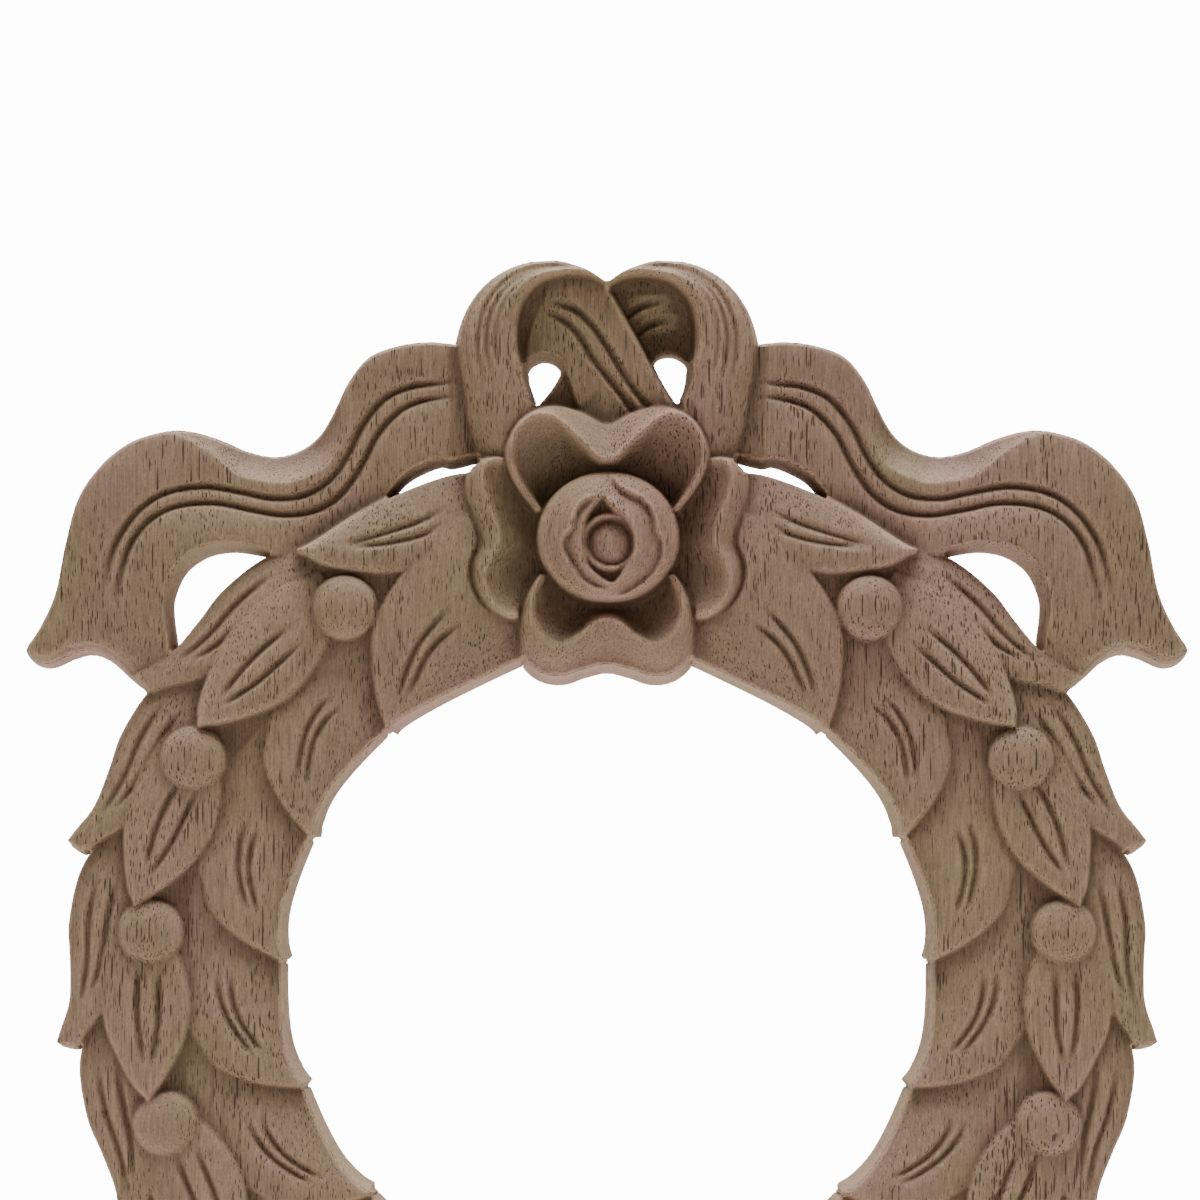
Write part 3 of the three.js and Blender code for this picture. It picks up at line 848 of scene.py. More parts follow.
        def form(places: Array) -> tuple[Array, Array]:
            """Gives the loop's form.

            Args:
                places: The places, one row each.

            Returns:
                The heights, and the distances inside the outline.
            """
            along, across, width, deep = band.place(places)
            (crown, crown_power), (lip_start, lip_power) = self.loop_crown, self.loop_lip
            rise = np.minimum(self.crown_height - self.outer_height, self.loop_slope * width)
            slope = self.crown_height - rise
            slope += rise * np.sin(0.5 * math.pi * np.clip(across / crown, 0, 1)) ** crown_power
            lip = (self.crown_height - self.lip_height) * ease(across, lip_start, 1) ** lip_power
            cut = sum(depth * gouge((across - middle) * width, self.loop_flute_width)
                      for middle, depth in self.loop_flutes)
            side_gap = width * np.minimum(across, 1 - across)
            rounded = self.loop_edge[0] * edge_round(side_gap, self.loop_edge[1])
            return slope - lip - cut * stroke(along, self.loop_flute_span) - rounded, deep

        board.carve(band.outline(), form)

    def carve(self, board: Board) -> None:
        """Carves the whole bow from the deepest part up, and pierces its two eyes.

        Args:
            board: The board to carve.
        """
        self.floors(board)
        self.crossing(board)
        for side in (1, -1):
            self.loop(board, side)
        for eye in (self.right_eye, self.left_eye):
            board.pierce(spline((*eye, eye[0]), count=70)[:-1])


@dataclass(frozen=True)
class Petal:
    """A rose petal seen from the middle of the rose.

    Attributes:
        facing: The angle of the petal's own middle from the top, in degrees.
        lip: The lip, as (angle from the petal's middle, distance).
        edge: The outer edge, in the same way.
        lip_height: The height of the lip.
        floor_height: The height of the bottom of the cup.
        edge_height: The height at the outer edge.
    """

    facing: float
    lip: Pairs
    edge: Pairs
    lip_height: float
    floor_height: float
    edge_height: float


@dataclass
class Rose:
    """The rose: four cupped petals with rolled lips round a tight bud.

    The side petals are drawn whole, and the top and bottom ones as a half that is mirrored.
    """

    side_facing: float = 90
    cup_middle: float = 9.5  # mm from the rose's middle, the bottom of the cups
    cup_power: float = 2.3
    roll_power: float = 1.7
    lip_bead: Pair = (0.3, 0.4)  # mm high and wide
    least_cup: float = 2.0  # mm, the narrowest that a cup and a roll are taken to be
    least_roll: float = 0.6
    petals: tuple[Petal, ...] = (
        Petal(90, ((-44, 17.5), (-38, 20.6), (-27, 22.2), (-17, 21.6), (-8, 19.7), (0, 18.2),
                   (11, 19.3), (21, 22.2), (29, 24.1), (36, 23.8), (44, 18)),
              ((-44, 18.6), (-38, 21.4), (-27, 23.7), (-17, 24.5), (-9, 23.9), (0, 22.3), (9, 23.3),
               (20, 25.9), (28, 26.8), (35, 25.6), (44, 20)),
              lip_height=12.8, floor_height=7.6, edge_height=9.4),
        Petal(180, ((-62, 12.5), (-53, 15.7), (-44, 18.1), (-34, 19.4), (-25, 19.3), (-18, 17), (-10, 13.9),
                    (0, 12.9)),
              ((-62, 14.5), (-53, 18.8), (-44, 22.2), (-36, 24.6), (-27, 25.4), (-18, 24.4), (-10, 22.4),
               (0, 21.2)),
              lip_height=13.6, floor_height=7.6, edge_height=8.4),
        Petal(0, ((-64, 13), (-52, 20.4), (-42, 23.7), (-32, 24.8), (-24, 23.2), (-18, 19.4), (-9, 14.9),
                  (0, 13.7)),
              ((-64, 14.5), (-52, 22.4), (-42, 24.9), (-32, 25.9), (-22, 25.2), (-12, 22.9), (0, 20.3)),
              lip_height=14.8, floor_height=7.4, edge_height=10.4),
    )
    bud_middle: Pair = (0.2, 0.84)
    bud_reach: Pair = (12.0, 11.1)
    bud_foot: float = 12.2
    bud_top: float = 18.5
    bud_power: float = 0.55
    right_crest: Pairs = ((0.5, 12.2), (1, 10.7), (2.1, 9.1), (3.5, 8.2), (5.5, 7.3), (7, 6), (7.9, 4.5),
                          (8.4, 2.8), (8.5, 1.4), (9.4, 0), (9.6, -2), (8.9, -4.1), (7.6, -6.1),
                          (5.5, -7.8), (3.1, -9.2), (-0.3, -9.9))
    left_crest: Pairs = ((-0.8, 7.6), (-3, 7.1), (-4.4, 6.2), (-5.3, 4.9), (-5.8, 3.1), (-6.1, 1.8),
                         (-7.3, 0.4), (-7.6, -1.3), (-6.8, -3.4), (-5.4, -5.4), (-4.1, -7), (-1.7, -8.3),
                         (1.1, -8.5))
    pocket: Pairs = ((-0.8, 7.4), (1.1, 5.3), (3.3, 3.6), (4.6, 0.9), (4.6, -2.2), (3.1, -5), (0.9, -7.4),
                     (-2.4, -5.5), (-3.9, -3.4), (-4.4, -0.3), (-4, 2.8), (-2.6, 5.5))
    beyond_right: Pairs = ((-14, -14), (-14, 14))  # closes what lies inside the right crest
    beyond_left: Pairs = ((14, -9), (14, 8))
    crest_size: Pair = (0.6, 0.4)  # mm high and wide
    crest_span: Span = (0, 0.12, 0.86, 1)
    step: Pair = (1.3, 2.6)  # mm deep inside a crest, and mm over which it levels out
    step_start: float = 0.5
    pocket_slope: float = 4.5
    pocket_floor: float = 14.0
    pocket_margin: float = 0.2
    collar_middle: Pair = (0.4, -0.3)
    collar_ring: tuple[float, float, float] = (4.4, 0.75, 5.7)  # mm: radius, half width, outermost
    collar_form: tuple[float, float, float] = (16.0, 1.6, 2.2)  # mm high, fall to its edges, and power
    button_middle: Pair = (0.7, -0.6)
    button_ring: Pair = (3.75, 3.8)  # mm: radius, outermost
    button_form: tuple[float, float, float] = (16.3, 1.7, 2.2)  # mm high, fall to its edge, and power
    button_foot: float = 14.6

    def petal(self, board: Board, form: Petal, side: int = 1) -> None:
        """Carves one petal.

        Args:
            board: The board to carve.
            form: The petal's form.
            side: -1 for a petal on the left.
        """
        drawn_whole = form.facing == self.side_facing
        in_radians = (math.pi / 180, 1)
        curves = []
        for pairs in (form.lip, form.edge):
            whole = np.array(pairs, float)
            if not drawn_whole:
                whole = np.vstack([whole, whole[-2::-1] * (-1, 1)])
            curves.append(spline(whole * in_radians, count=240) / in_radians)
        lip, edge = curves
        turn = np.radians(form.facing - edge[:, 0] if drawn_whole else form.facing + edge[:, 0])
        rim = np.column_stack([edge[:, 1] * np.sin(turn), edge[:, 1] * np.cos(turn)])
        outline = np.vstack([rim, [[0.0, 0.0]]]) * (side, 1)

        def form_at(places: Array) -> tuple[Array, Array]:
            """Gives the petal's form.

            Args:
                places: The places, one row each.

            Returns:
                The heights, and the distances inside the outline.
            """
            radius = np.hypot(*places.T)
            angle = np.degrees(np.arctan2(side * places[:, 0], places[:, 1])) - form.facing
            angle = (angle + 180) % 360 - 180
            if drawn_whole:
                angle = -angle
            lip_at = np.interp(angle, *lip.T)
            edge_at = np.interp(angle, *edge.T)
            inward = lip_at - radius
            t = np.clip(inward / np.maximum(lip_at - self.cup_middle, self.least_cup), 0, 1)
            deep_share = 1 - (1 - t) ** self.cup_power
            cup = form.lip_height - (form.lip_height - form.floor_height) * deep_share
            q = np.clip(-inward / np.maximum(edge_at - lip_at, self.least_roll), 0, 1)
            roll = form.lip_height - (form.lip_height - form.edge_height) * q ** self.roll_power
            bead = self.lip_bead[0] * crest(inward, self.lip_bead[1])
            return np.where(inward > 0, cup, roll) + bead, depth_inside(places, outline)

        board.carve(outline, form_at, Join.COVER)

    def bud(self, board: Board) -> None:
        """Carves the bud: a dome of wrapped petals, a pocket, a collar and a button.

        Args:
            board: The board to carve.
        """
        turn = np.linspace(0, 2 * math.pi, num=120, endpoint=False)
        middle, reach = np.array(self.bud_middle), np.array(self.bud_reach)
        outline = middle + reach * np.column_stack([np.sin(turn), np.cos(turn)])
        right, left = (spline(line, count=160) for line in (self.right_crest, self.left_crest))
        pocket = spline((*self.pocket, self.pocket[0]), count=120)[:-1]
        inside_right = np.vstack([right, self.beyond_right])
        inside_left = np.vstack([left, self.beyond_left])

        def form(places: Array) -> tuple[Array, Array]:
            """Gives the bud's form.

            Args:
                places: The places, one row each.

            Returns:
                The heights, and the distances inside the outline.
            """
            off = np.minimum(np.hypot(*((places - middle) / reach).T), 1)
            dome = self.bud_foot + (self.bud_top - self.bud_foot) * (1 - off ** 2) ** self.bud_power
            for line, region in ((right, inside_right), (left, inside_left)):
                far, run = nearest(places, line)
                ends = stroke(run, self.crest_span)
                inner = within(places, region)
                step = self.step[0] * np.exp(-far / self.step[1]) * ease(far, 0, self.step_start)
                raised = self.crest_size[0] * crest(far, self.crest_size[1]) * ends
                dome = dome - np.where(inner, step * ends, 0) + raised
            sunk = depth_inside(places, pocket)
            floor = np.maximum(dome - self.pocket_slope * np.maximum(sunk, 0), self.pocket_floor)
            (ring, half, ring_end), (high, fall, power) = self.collar_ring, self.collar_form
            from_collar = np.hypot(*(places - self.collar_middle).T)
            collar = high - fall * np.abs((from_collar - ring) / half) ** power
            (size, button_end), (high, fall, power) = self.button_ring, self.button_form
            from_button = np.hypot(*(places - self.button_middle).T)
            button = high - fall * (from_button / size) ** power
            heart = np.maximum(floor, np.where(from_collar < ring_end, collar, 0))
            heart = np.where(from_button < button_end, np.maximum(button, self.button_foot), heart)
            return np.where(sunk > -self.pocket_margin, heart, dome), depth_inside(places, outline)

        board.carve(outline, form, Join.COVER)

    def carve(self, board: Board) -> None:
        """Carves the petals from the lowest up, and then the bud.

        Args:
            board: The board to carve.
        """
        side_petal, bottom_petal, top_petal = self.petals
        self.petal(board, side_petal)
        self.petal(board, side_petal, -1)
        self.petal(board, bottom_petal)
        self.petal(board, top_petal)
        self.bud(board)


def linear(colour: str) -> tuple[float, float, float, float]:
    """Turns an sRGB hex colour into the linear values that a shader takes."""
    parts = [int(colour[i:i + 2], 16) / 255 for i in (1, 3, 5)]
    return (*(p / 12.92 if p <= 0.04045 else ((p + 0.055) / 1.055) ** 2.4 for p in parts), 1.0)


def add_node(tree: bpy.types.NodeTree, kind: str, links: dict | None = None,
             **settings: object) -> bpy.types.Node:
    """Adds a node to a material.

    Args:
        tree: The node tree.
        kind: The node's type name.
        links: Sockets by name or index, each with the output or the value it takes.
        settings: The node's own settings.

    Returns:
        The new node.
    """
    node = tree.nodes.new(kind)
    for name, value in settings.items():
        setattr(node, name, value)
    for name, value in (links or {}).items():
        if isinstance(value, bpy.types.NodeSocket):
            tree.links.new(value, node.inputs[name])
        else:
            node.inputs[name].default_value = value
    return node


@dataclass(frozen=True)
class RawRubberwood:
    """Rubberwood, carved and sanded, with no stain or varnish.

    To the eye it is a dull tan with patches of pink and of grey-green, fine streaks along the grain, and
    open vessels: dark dashes on faces along the grain, and dots where the carving cuts across it. Shade and
    light are painted into its colour as well: darker in hollows, lighter on edges and cut walls.
    """

    beige: str = "#836D54"
    pinkish: str = "#866B58"
    olive: str = "#806E52"
    vessel: str = "#3F2A1A"
    vessel_pitch: float = 0.34  # mm between vessels across the grain
    vessel_run: float = 3.4  # mm between vessels along the grain
    long_pitch: float = 0.6  # mm, vessels that the saw opened along their length
    long_run: float = 15.0  # mm
    streak_width: float = 0.34  # mm
    streak_run: float = 9.0  # mm
    fuzz_width: float = 0.3  # mm, fibres that sanding raised
    patch_width: float = 38.0  # mm
    patch_run: float = 60.0  # mm
    olive_scale: Pair = (0.6, 0.5)  # width and length of the olive patches, as shares of the others'
    olive_seed: float = 7.3
    patch_share: Pair = (0.42, 0.62)  # of the noise, from all beige to all pinkish
    olive_share: Pair = (0.5, 0.68)  # of a second noise, from none to all olive
    streak_tone: Pair = (0.77, 1.16)  # how dark and how light a streak is
    fuzz_tone: Pair = (0.88, 1.12)
    hollow_depth: Pair = (-1.1, 1.0)  # mm, from a full hollow to a full edge, for the painted shade and highlight
    hollow_painted_shade: tuple[float, float, float] = (0.69, 0.62, 0.54)  # painted shade in a hollow, warm, as wood lights wood there
    edge_tone: float = 2.05  # an edge catches the light
    short_size: Pair = (0.15, 0.37)  # shares of the pitch, where vessels are few and where they are many
    long_size: Pair = (0.06, 0.36)
    short_crowd: float = 5.0  # mm wide, the places where vessels are many
    long_crowd: float = 11.0  # mm
    vessel_core: float = 0.55  # share of a vessel that is fully dark
    vessel_strength: float = 0.85
    roughness: float = 0.72
    specular: float = 0.3
    pit_depth: float = 0.12
    streak_depth: float = 0.05
    bump_strength: float = 0.6

    def stretch(self, tree: bpy.types.NodeTree, across: float, along: float) -> bpy.types.NodeSocket:
        """Makes coordinates that count real distances across the grain and along it.

        Args:
            tree: The node tree.
            across: Millimetres to a unit across the grain.
            along: Millimetres to a unit along it.

        Returns:
            The coordinates.
        """
        place = add_node(tree, "ShaderNodeTexCoord").outputs["Object"]
        scale = (1 / (across * MM), 1 / (across * MM), 1 / (along * MM))
        return add_node(tree, "ShaderNodeMapping", {0: place, "Scale": scale}).outputs[0]

    def remap(self, tree: bpy.types.NodeTree, value: bpy.types.NodeSocket, low: float, high: float,
              to_low: float = 0.0, to_high: float = 1.0) -> bpy.types.NodeSocket:
        """Moves a range of values onto another, smoothly.

        Args:
            tree: The node tree.
            value: The values.
            low: The low end of their range.
            high: The high end.
            to_low: What the low end becomes.
            to_high: What the high end becomes.

        Returns:
            The moved values.
        """
        return add_node(tree, "ShaderNodeMapRange",
                        {0: value, 1: low, 2: high, 3: to_low, 4: to_high},
                        interpolation_type="SMOOTHSTEP").outputs[0]

    def blend(self, tree: bpy.types.NodeTree, share: Value, first: Value, second: Value,
              kind: str = "MIX") -> bpy.types.NodeSocket:
        """Mixes two colours.

        Args:
            tree: The node tree.
            share: How much of the second there is.
            first: The first colour.
            second: The second colour.
            kind: How they mix.

        Returns:
            The mixed colour.
        """
        return add_node(tree, "ShaderNodeMix", {0: share, 6: first, 7: second}, data_type="RGBA",
                        blend_type=kind).outputs[2]

    def shade(self, tree: bpy.types.NodeTree, tone: Value, red: Value, green: Value,
              blue: Value) -> bpy.types.NodeSocket:
        """Makes a colour lighter or darker.

        Args:
            tree: The node tree.
            tone: The colour.
            red: What its red is multiplied by.
            green: What its green is multiplied by.
            blue: What its blue is multiplied by.

        Returns:
            The shaded colour.
        """
        strength = add_node(tree, "ShaderNodeCombineXYZ", {0: red, 1: green, 2: blue}).outputs[0]
        return self.blend(tree, 1.0, tone, strength, "MULTIPLY")

    def noise(self, tree: bpy.types.NodeTree, across: float, along: float,
              **values: float) -> bpy.types.NodeSocket:
        """Makes soft random patches.

        Args:
            tree: The node tree.
            across: How wide a patch is, in millimetres across the grain.
            along: How long it is, in millimetres along the grain.
            values: The noise's own values.

        Returns:
            The strength of the noise.
        """
        dimensions = "4D" if "W" in values else "3D"
        return add_node(tree, "ShaderNodeTexNoise",
                        {0: self.stretch(tree, across, along), "Scale": 1.0, **values},
                        noise_dimensions=dimensions).outputs[0]

    def vessels(self, tree: bpy.types.NodeTree, pitch: float, run: float, crowd_width: float,
                size: Pair) -> bpy.types.NodeSocket:
        """Draws one size of open vessel.

        Args:
            tree: The node tree.
            pitch: Millimetres between vessels across the grain.
            run: Millimetres between them along the grain.
            crowd_width: The width in millimetres of the places where they are many.
            size: The size of a vessel where they are few and where they are many, as shares of the pitch.

        Returns:
            1 in a vessel and 0 beside it.
        """
        cells = add_node(tree, "ShaderNodeTexVoronoi",
                         {0: self.stretch(tree, pitch, run), "Scale": 1.0, "Randomness": 1.0})
        crowd = self.noise(tree, crowd_width, 4 * crowd_width, Detail=2.0)
        reach = self.remap(tree, crowd, *NOISE_RANGE, *size)
        inner = add_node(tree, "ShaderNodeMath", {0: reach, 1: self.vessel_core},
                         operation="MULTIPLY").outputs[0]
        return add_node(tree, "ShaderNodeMapRange", {0: cells.outputs["Distance"], 1: reach, 2: inner},
                        interpolation_type="SMOOTHSTEP").outputs[0]

    def build(self) -> bpy.types.Material:
        """Makes the material.

        Returns:
            The material.
        """
        made = bpy.data.materials.new("raw_rubberwood")
        made.use_nodes = True
        tree = made.node_tree
        shader = tree.nodes["Principled BSDF"]
        patch = self.noise(tree, self.patch_width, self.patch_run, Detail=3.0, Roughness=0.6)
        olive_width, olive_run = self.patch_width * self.olive_scale[0], self.patch_run * self.olive_scale[1]
        second = self.noise(tree, olive_width, olive_run, Detail=2.0, W=self.olive_seed)
        streak = self.noise(tree, self.streak_width, self.streak_run, Detail=3.0, Roughness=0.65)
        tone = self.blend(tree, self.remap(tree, patch, *self.patch_share), linear(self.beige),
                          linear(self.pinkish))
        tone = self.blend(tree, self.remap(tree, second, *self.olive_share), tone, linear(self.olive))
        fine = self.remap(tree, streak, *NOISE_RANGE, *self.streak_tone)
        tone = self.shade(tree, tone, fine, fine, fine)
        fuzz = self.noise(tree, self.fuzz_width, 1.6 * self.fuzz_width, Detail=2.0, Roughness=0.7)
        raised = self.remap(tree, fuzz, *NOISE_RANGE, *self.fuzz_tone)
        tone = self.shade(tree, tone, raised, raised, raised)
        # Painted shade and highlight: the colour is darkened in hollows and lightened on edges and cut
        # walls, in place of light and shade.
        hollow = add_node(tree, "ShaderNodeAttribute", attribute_name="painted_shade_and_highlight").outputs["Fac"]
        tone = self.shade(tree, tone, *(self.remap(tree, hollow, *self.hollow_depth, low, self.edge_tone)
                                        for low in self.hollow_painted_shade))
        short = self.vessels(tree, self.vessel_pitch, self.vessel_run, self.short_crowd, self.short_size)
        long = self.vessels(tree, self.long_pitch, self.long_run, self.long_crowd, self.long_size)
        open_vessel = add_node(tree, "ShaderNodeMath", {0: short, 1: long}, operation="MAXIMUM").outputs[0]
        dark = self.remap(tree, open_vessel, 0, 1, 0, self.vessel_strength)
        tone = self.blend(tree, dark, tone, linear(self.vessel))
        tree.links.new(tone, shader.inputs["Base Color"])
        shader.inputs["Roughness"].default_value = self.roughness
        shader.inputs["Specular IOR Level"].default_value = self.specular
        pits = add_node(tree, "ShaderNodeMath", {0: open_vessel, 1: -self.pit_depth},
                        operation="MULTIPLY").outputs[0]
        grain = add_node(tree, "ShaderNodeMath", {0: streak, 1: self.streak_depth, 2: pits},
                         operation="MULTIPLY_ADD").outputs[0]
        bump = add_node(tree, "ShaderNodeBump",
                        {"Height": grain, "Strength": self.bump_strength, "Distance": MM})
        tree.links.new(bump.outputs[0], shader.inputs["Normal"])
        return made


@dataclass(frozen=True)
class MattPaint:
    """Matt white wall paint, rolled on the board that the wreath stands on.

    To the eye it is an even off-white with no shine.
    """

    white: str = "#EDEAE4"
    roughness: float = 0.9

    def build(self) -> bpy.types.Material:
        """Makes the material.

        Returns:
            The material.
        """
        made = bpy.data.materials.new("matt_white_paint")
        made.use_nodes = True
        shader = made.node_tree.nodes["Principled BSDF"]
        shader.inputs["Base Color"].default_value = linear(self.white)
        shader.inputs["Roughness"].default_value = self.roughness
        return made


@dataclass
class CarvedPanel:
    """The finished piece of wood: the sheet of heights closed with cut walls and a flat back."""

    board: Board
    wall_draft: float = 0.12
    arris: float = 0.6  # mm, the bevel between the front and the wall
    arris_reach: float = 0.3  # mm, the strip along the edge that counts as arris and is given the painted highlight
    # Painted highlight: the tone value given to the arris strip.
    arris_painted_highlight: float = 0.8
    # Painted light: the tone value given to the cut walls, so they show lighter than the front.
    wall_painted_light: float = 0.55
    wall_steps: Pair = (0.5, 1.0)  # shares of the way down the wall where it has points
    fine_hollow: float = 0.8  # mm round a place, to tell grooves and edges for the painted shade and highlight
    broad_hollow: float = 3.0  # mm round a place, to tell cups for the painted shade
    broad_share: float = 0.4
    foot_gap: float = 0.12  # mm, half the gap between the feet of two walls in a notch
    foot_tries: int = 20  # steps from a wall's top to its foot when that gap is sought
    least_cut: float = 0.1  # of the pitch, from a point of the sheet to the outline
    sharp_angle: float = 32.0  # degrees
    most_triangles: int = 168000

    def front(self) -> tuple[Array, Array]:
        """Turns the sheet into a surface that ends on the carving's outline.

        Returns:
            The surface's points in millimetres, and its triangles.
        """
        board = self.board
        least = self.least_cut * board.pitch
        inside = np.where(np.abs(board.inside) < least, least, board.inside)
        rows, columns = inside.shape
        keep = inside > 0
        x, z = np.meshgrid(board.x, board.z)
        number = np.full((3, rows, columns), -1)
        number[0][keep] = np.arange(keep.sum())
        places = [np.column_stack([x[keep], z[keep], board.height[keep]])]
        total = keep.sum()
        # Points where the outline crosses the lines between the sheet's points.
        for axis in (0, 1):
            step = (slice(None), slice(1, None)) if axis == 0 else (slice(1, None), slice(None))
            back = (slice(None), slice(None, -1)) if axis == 0 else (slice(None, -1), slice(None))
            crossed = keep[back] != keep[step]
            a, b = inside[back][crossed], inside[step][crossed]
            t = a / (a - b)
            first = keep[back][crossed]
            h = np.where(first, board.height[back][crossed], board.height[step][crossed])
            places.append(np.column_stack([
                x[back][crossed] * (1 - t) + x[step][crossed] * t,
                z[back][crossed] * (1 - t) + z[step][crossed] * t, h]))
            number[axis + 1][back][crossed] = total + np.arange(crossed.sum())
            total += crossed.sum()
        corner = [number[0][:-1, :-1], number[0][:-1, 1:], number[0][1:, 1:], number[0][1:, :-1]]
        edge = [number[1][:-1, :-1], number[2][:-1, 1:], number[1][1:, :-1], number[2][:-1, :-1]]
        kind = sum((c >= 0).astype(int) << i for i, c in enumerate(corner))
        faces = []
        # One case for each way in which a cell's four corners lie inside or outside.
        for case in range(1, 16):
            cells = kind == case
            ring = []
            for i in range(4):
                if case >> i & 1:
                    ring.append(corner[i][cells])
                if (case >> i & 1) != (case >> (i + 1) % 4 & 1):
                    ring.append(edge[i][cells])
            faces.extend(np.column_stack([ring[0], ring[i], ring[i + 1]]) for i in range(1, len(ring) - 1))
        flat = np.vstack(places)
        return np.column_stack([flat[:, 0], -flat[:, 2], flat[:, 1]]), np.vstack(faces)

    def mesh_of(self, name: str, points: Array, faces: Array) -> bpy.types.Mesh:
        """Makes a mesh of triangles.

        Args:
            name: The mesh's name.
            points: Its points, one row each.
            faces: Its triangles, as numbers of points.

        Returns:
            The mesh.
        """
        mesh = bpy.data.meshes.new(name)
        mesh.vertices.add(len(points))
        mesh.vertices.foreach_set("co", points.astype(np.float32).ravel())
        mesh.loops.add(3 * len(faces))
        mesh.loops.foreach_set("vertex_index", faces.astype(np.int32).ravel())
        mesh.polygons.add(len(faces))
        mesh.polygons.foreach_set("loop_start", np.arange(0, 3 * len(faces), 3, dtype=np.int32))
        mesh.update(calc_edges=True)
        return mesh

    def thinned(self, points: Array, faces: Array) -> tuple[Array, Array]:
        """Takes triangles out where the surface is even, and keeps its form.

        Args:
            points: The surface's points.
            faces: Its triangles.

        Returns:
            The points and triangles that are left.
        """
        mesh = self.mesh_of("front", points, faces)
        work = bpy.data.objects.new("front", mesh)
        bpy.context.scene.collection.objects.link(work)
        thin = work.modifiers.new("thin", "DECIMATE")
        thin.ratio = min(1.0, self.most_triangles / len(faces))
        thin.use_collapse_triangulate = True
        shown = work.evaluated_get(bpy.context.evaluated_depsgraph_get()).to_mesh()
        shown.calc_loop_triangles()
        kept = np.empty(3 * len(shown.vertices))
        shown.vertices.foreach_get("co", kept)
        triangles = np.empty(3 * len(shown.loop_triangles), int)
        shown.loop_triangles.foreach_get("vertices", triangles)
        bpy.data.objects.remove(work)
        bpy.data.meshes.remove(mesh)
        return kept.reshape(-1, 3), triangles.reshape(-1, 3)

    def rim(self, faces: Array) -> Array:
        """Finds the border of the front.

        Args:
            faces: The front's triangles.

        Returns:
            The border, as (from, to) pairs of point numbers.
        """
        sides = np.vstack([faces[:, [0, 1]], faces[:, [1, 2]], faces[:, [2, 0]]])
        key = np.sort(sides, axis=1)
        _, first, count = np.unique(key, axis=0, return_index=True, return_counts=True)
        return sides[first[count == 1]]

    def spread(self, inside: Array, places: Array, out: Array, reach: Array) -> Array:
        """Finds how far the foot of the wall may stand out before it meets the wall across a notch.

        Args:
            inside: The sheet of distances inside the carving's outline.
            places: The places of the wall's top, one row each.
            out: The way that the wall faces at each.
            reach: How far its foot stands out where nothing is in the way.

        Returns:
            How far the foot stands out at each place.
        """
        board = self.board
        start = board.sample(inside, places)
        share, free = np.zeros(len(places)), np.ones(len(places), bool)
        for step in np.linspace(1 / self.foot_tries, 1, self.foot_tries):
            off = step * reach
            free &= board.sample(inside, places + out * off[:, None]) < start - off + self.foot_gap
            share[free] = step
        return np.where(share < 1, np.maximum(share * reach - self.foot_gap, 0), reach)

    def back(self, points: Array, border: Array) -> tuple[Array, Array]:
        """Closes the flat back inside its border.

        Args:
            points: All points, in millimetres.
            border: (from, to) pairs of point numbers.

        Returns:
            All points, with those added where the border crosses itself, and the triangles of the back.
        """
        used, local = np.unique(border, return_inverse=True)
        flat = points[used][:, [0, 2]]
        lines = local.reshape(-1, 2)
        found = delaunay_2d_cdt([Vector(place) for place in flat], lines.tolist(), [], 0, 1e-6)
        numbers, added = [], []
        for place, first in zip(found[0], found[3]):
            numbers.append(used[first[0]] if first else len(points) + len(added))
            if not first:
                added.append((place.x, 0.0, place.y))
        points = np.vstack([points, *added])
        closed = np.array(numbers)[np.array(found[2])]
        middle = points[closed][:, :, [0, 2]].mean(1)
        closed = closed[enclosed(middle, flat[lines])]
        a, b, c = (points[closed[:, i]][:, [0, 2]] for i in range(3))
        turned = (b - a)[:, 0] * (c - a)[:, 1] - (b - a)[:, 1] * (c - a)[:, 0] > 0
        closed[turned] = closed[turned][:, ::-1]
        return points, closed

    def bevel(self) -> tuple[Array, Array]:
        """Cuts the arris between the front and the wall, and tells where the wood is hollow, for the painted
        shade.

        Returns:
            The sheet of distances inside the outline as they were, and the sheet of painted shade and
            highlight.
        """
        board = self.board
        # Painted shade: hollows from a fine and a broad measure, to darken the colour there.
        broad = np.minimum(board.hollows(self.broad_hollow), 0)
        painted_shade_and_highlight = board.hollows(self.fine_hollow) + self.broad_share * broad
        board.measure()
        inside = board.inside.copy()
        board.inside -= 0.5 * self.wall_draft * np.maximum(board.height, 0)  # half of it on either side
        # Painted highlight along the arris strip, as an edge catches the light.
        painted_shade_and_highlight[board.inside < self.arris_reach] = self.arris_painted_highlight
        board.height -= np.maximum(self.arris - np.maximum(board.inside, 0), 0)
        return inside, painted_shade_and_highlight

    def wall(self, points: Array, border: Array, inside: Array) -> tuple[Array, Array, Array]:
        """Cuts the wall from the border of the front down to the back.

        Args:
            points: The front's points, in millimetres.
            border: The front's border, as (from, to) pairs of point numbers.
            inside: The sheet of distances inside the carving's outline.

        Returns:
            All points, the wall's triangles, and the border of the back.
        """
        board = self.board
        used, local = np.unique(border, return_inverse=True)
        local = local.reshape(-1, 2)
        slope_z, slope_x = np.gradient(board.inside, board.pitch)
        top = points[used]
        rim = top[:, [0, 2]]
        out = -np.column_stack([board.sample(slope, rim) for slope in (slope_x, slope_z)])
        out /= np.maximum(np.linalg.norm(out, axis=1, keepdims=True), 1e-6)
        reach = self.spread(inside, rim, out, self.wall_draft * -top[:, 1])
        levels, last = [], used
        for share in self.wall_steps:
            drop = top.copy()
            drop[:, 1] *= 1 - share
            drop[:, [0, 2]] += share * reach[:, None] * out
            now = len(points) + np.arange(len(used))
            a, b, c, d = last[local[:, 0]], last[local[:, 1]], now[local[:, 1]], now[local[:, 0]]
            levels.append(np.vstack([np.column_stack([b, a, d]), np.column_stack([b, d, c])]))
            points = np.vstack([points, drop])
            last = now
        return points, np.vstack(levels), last[local]

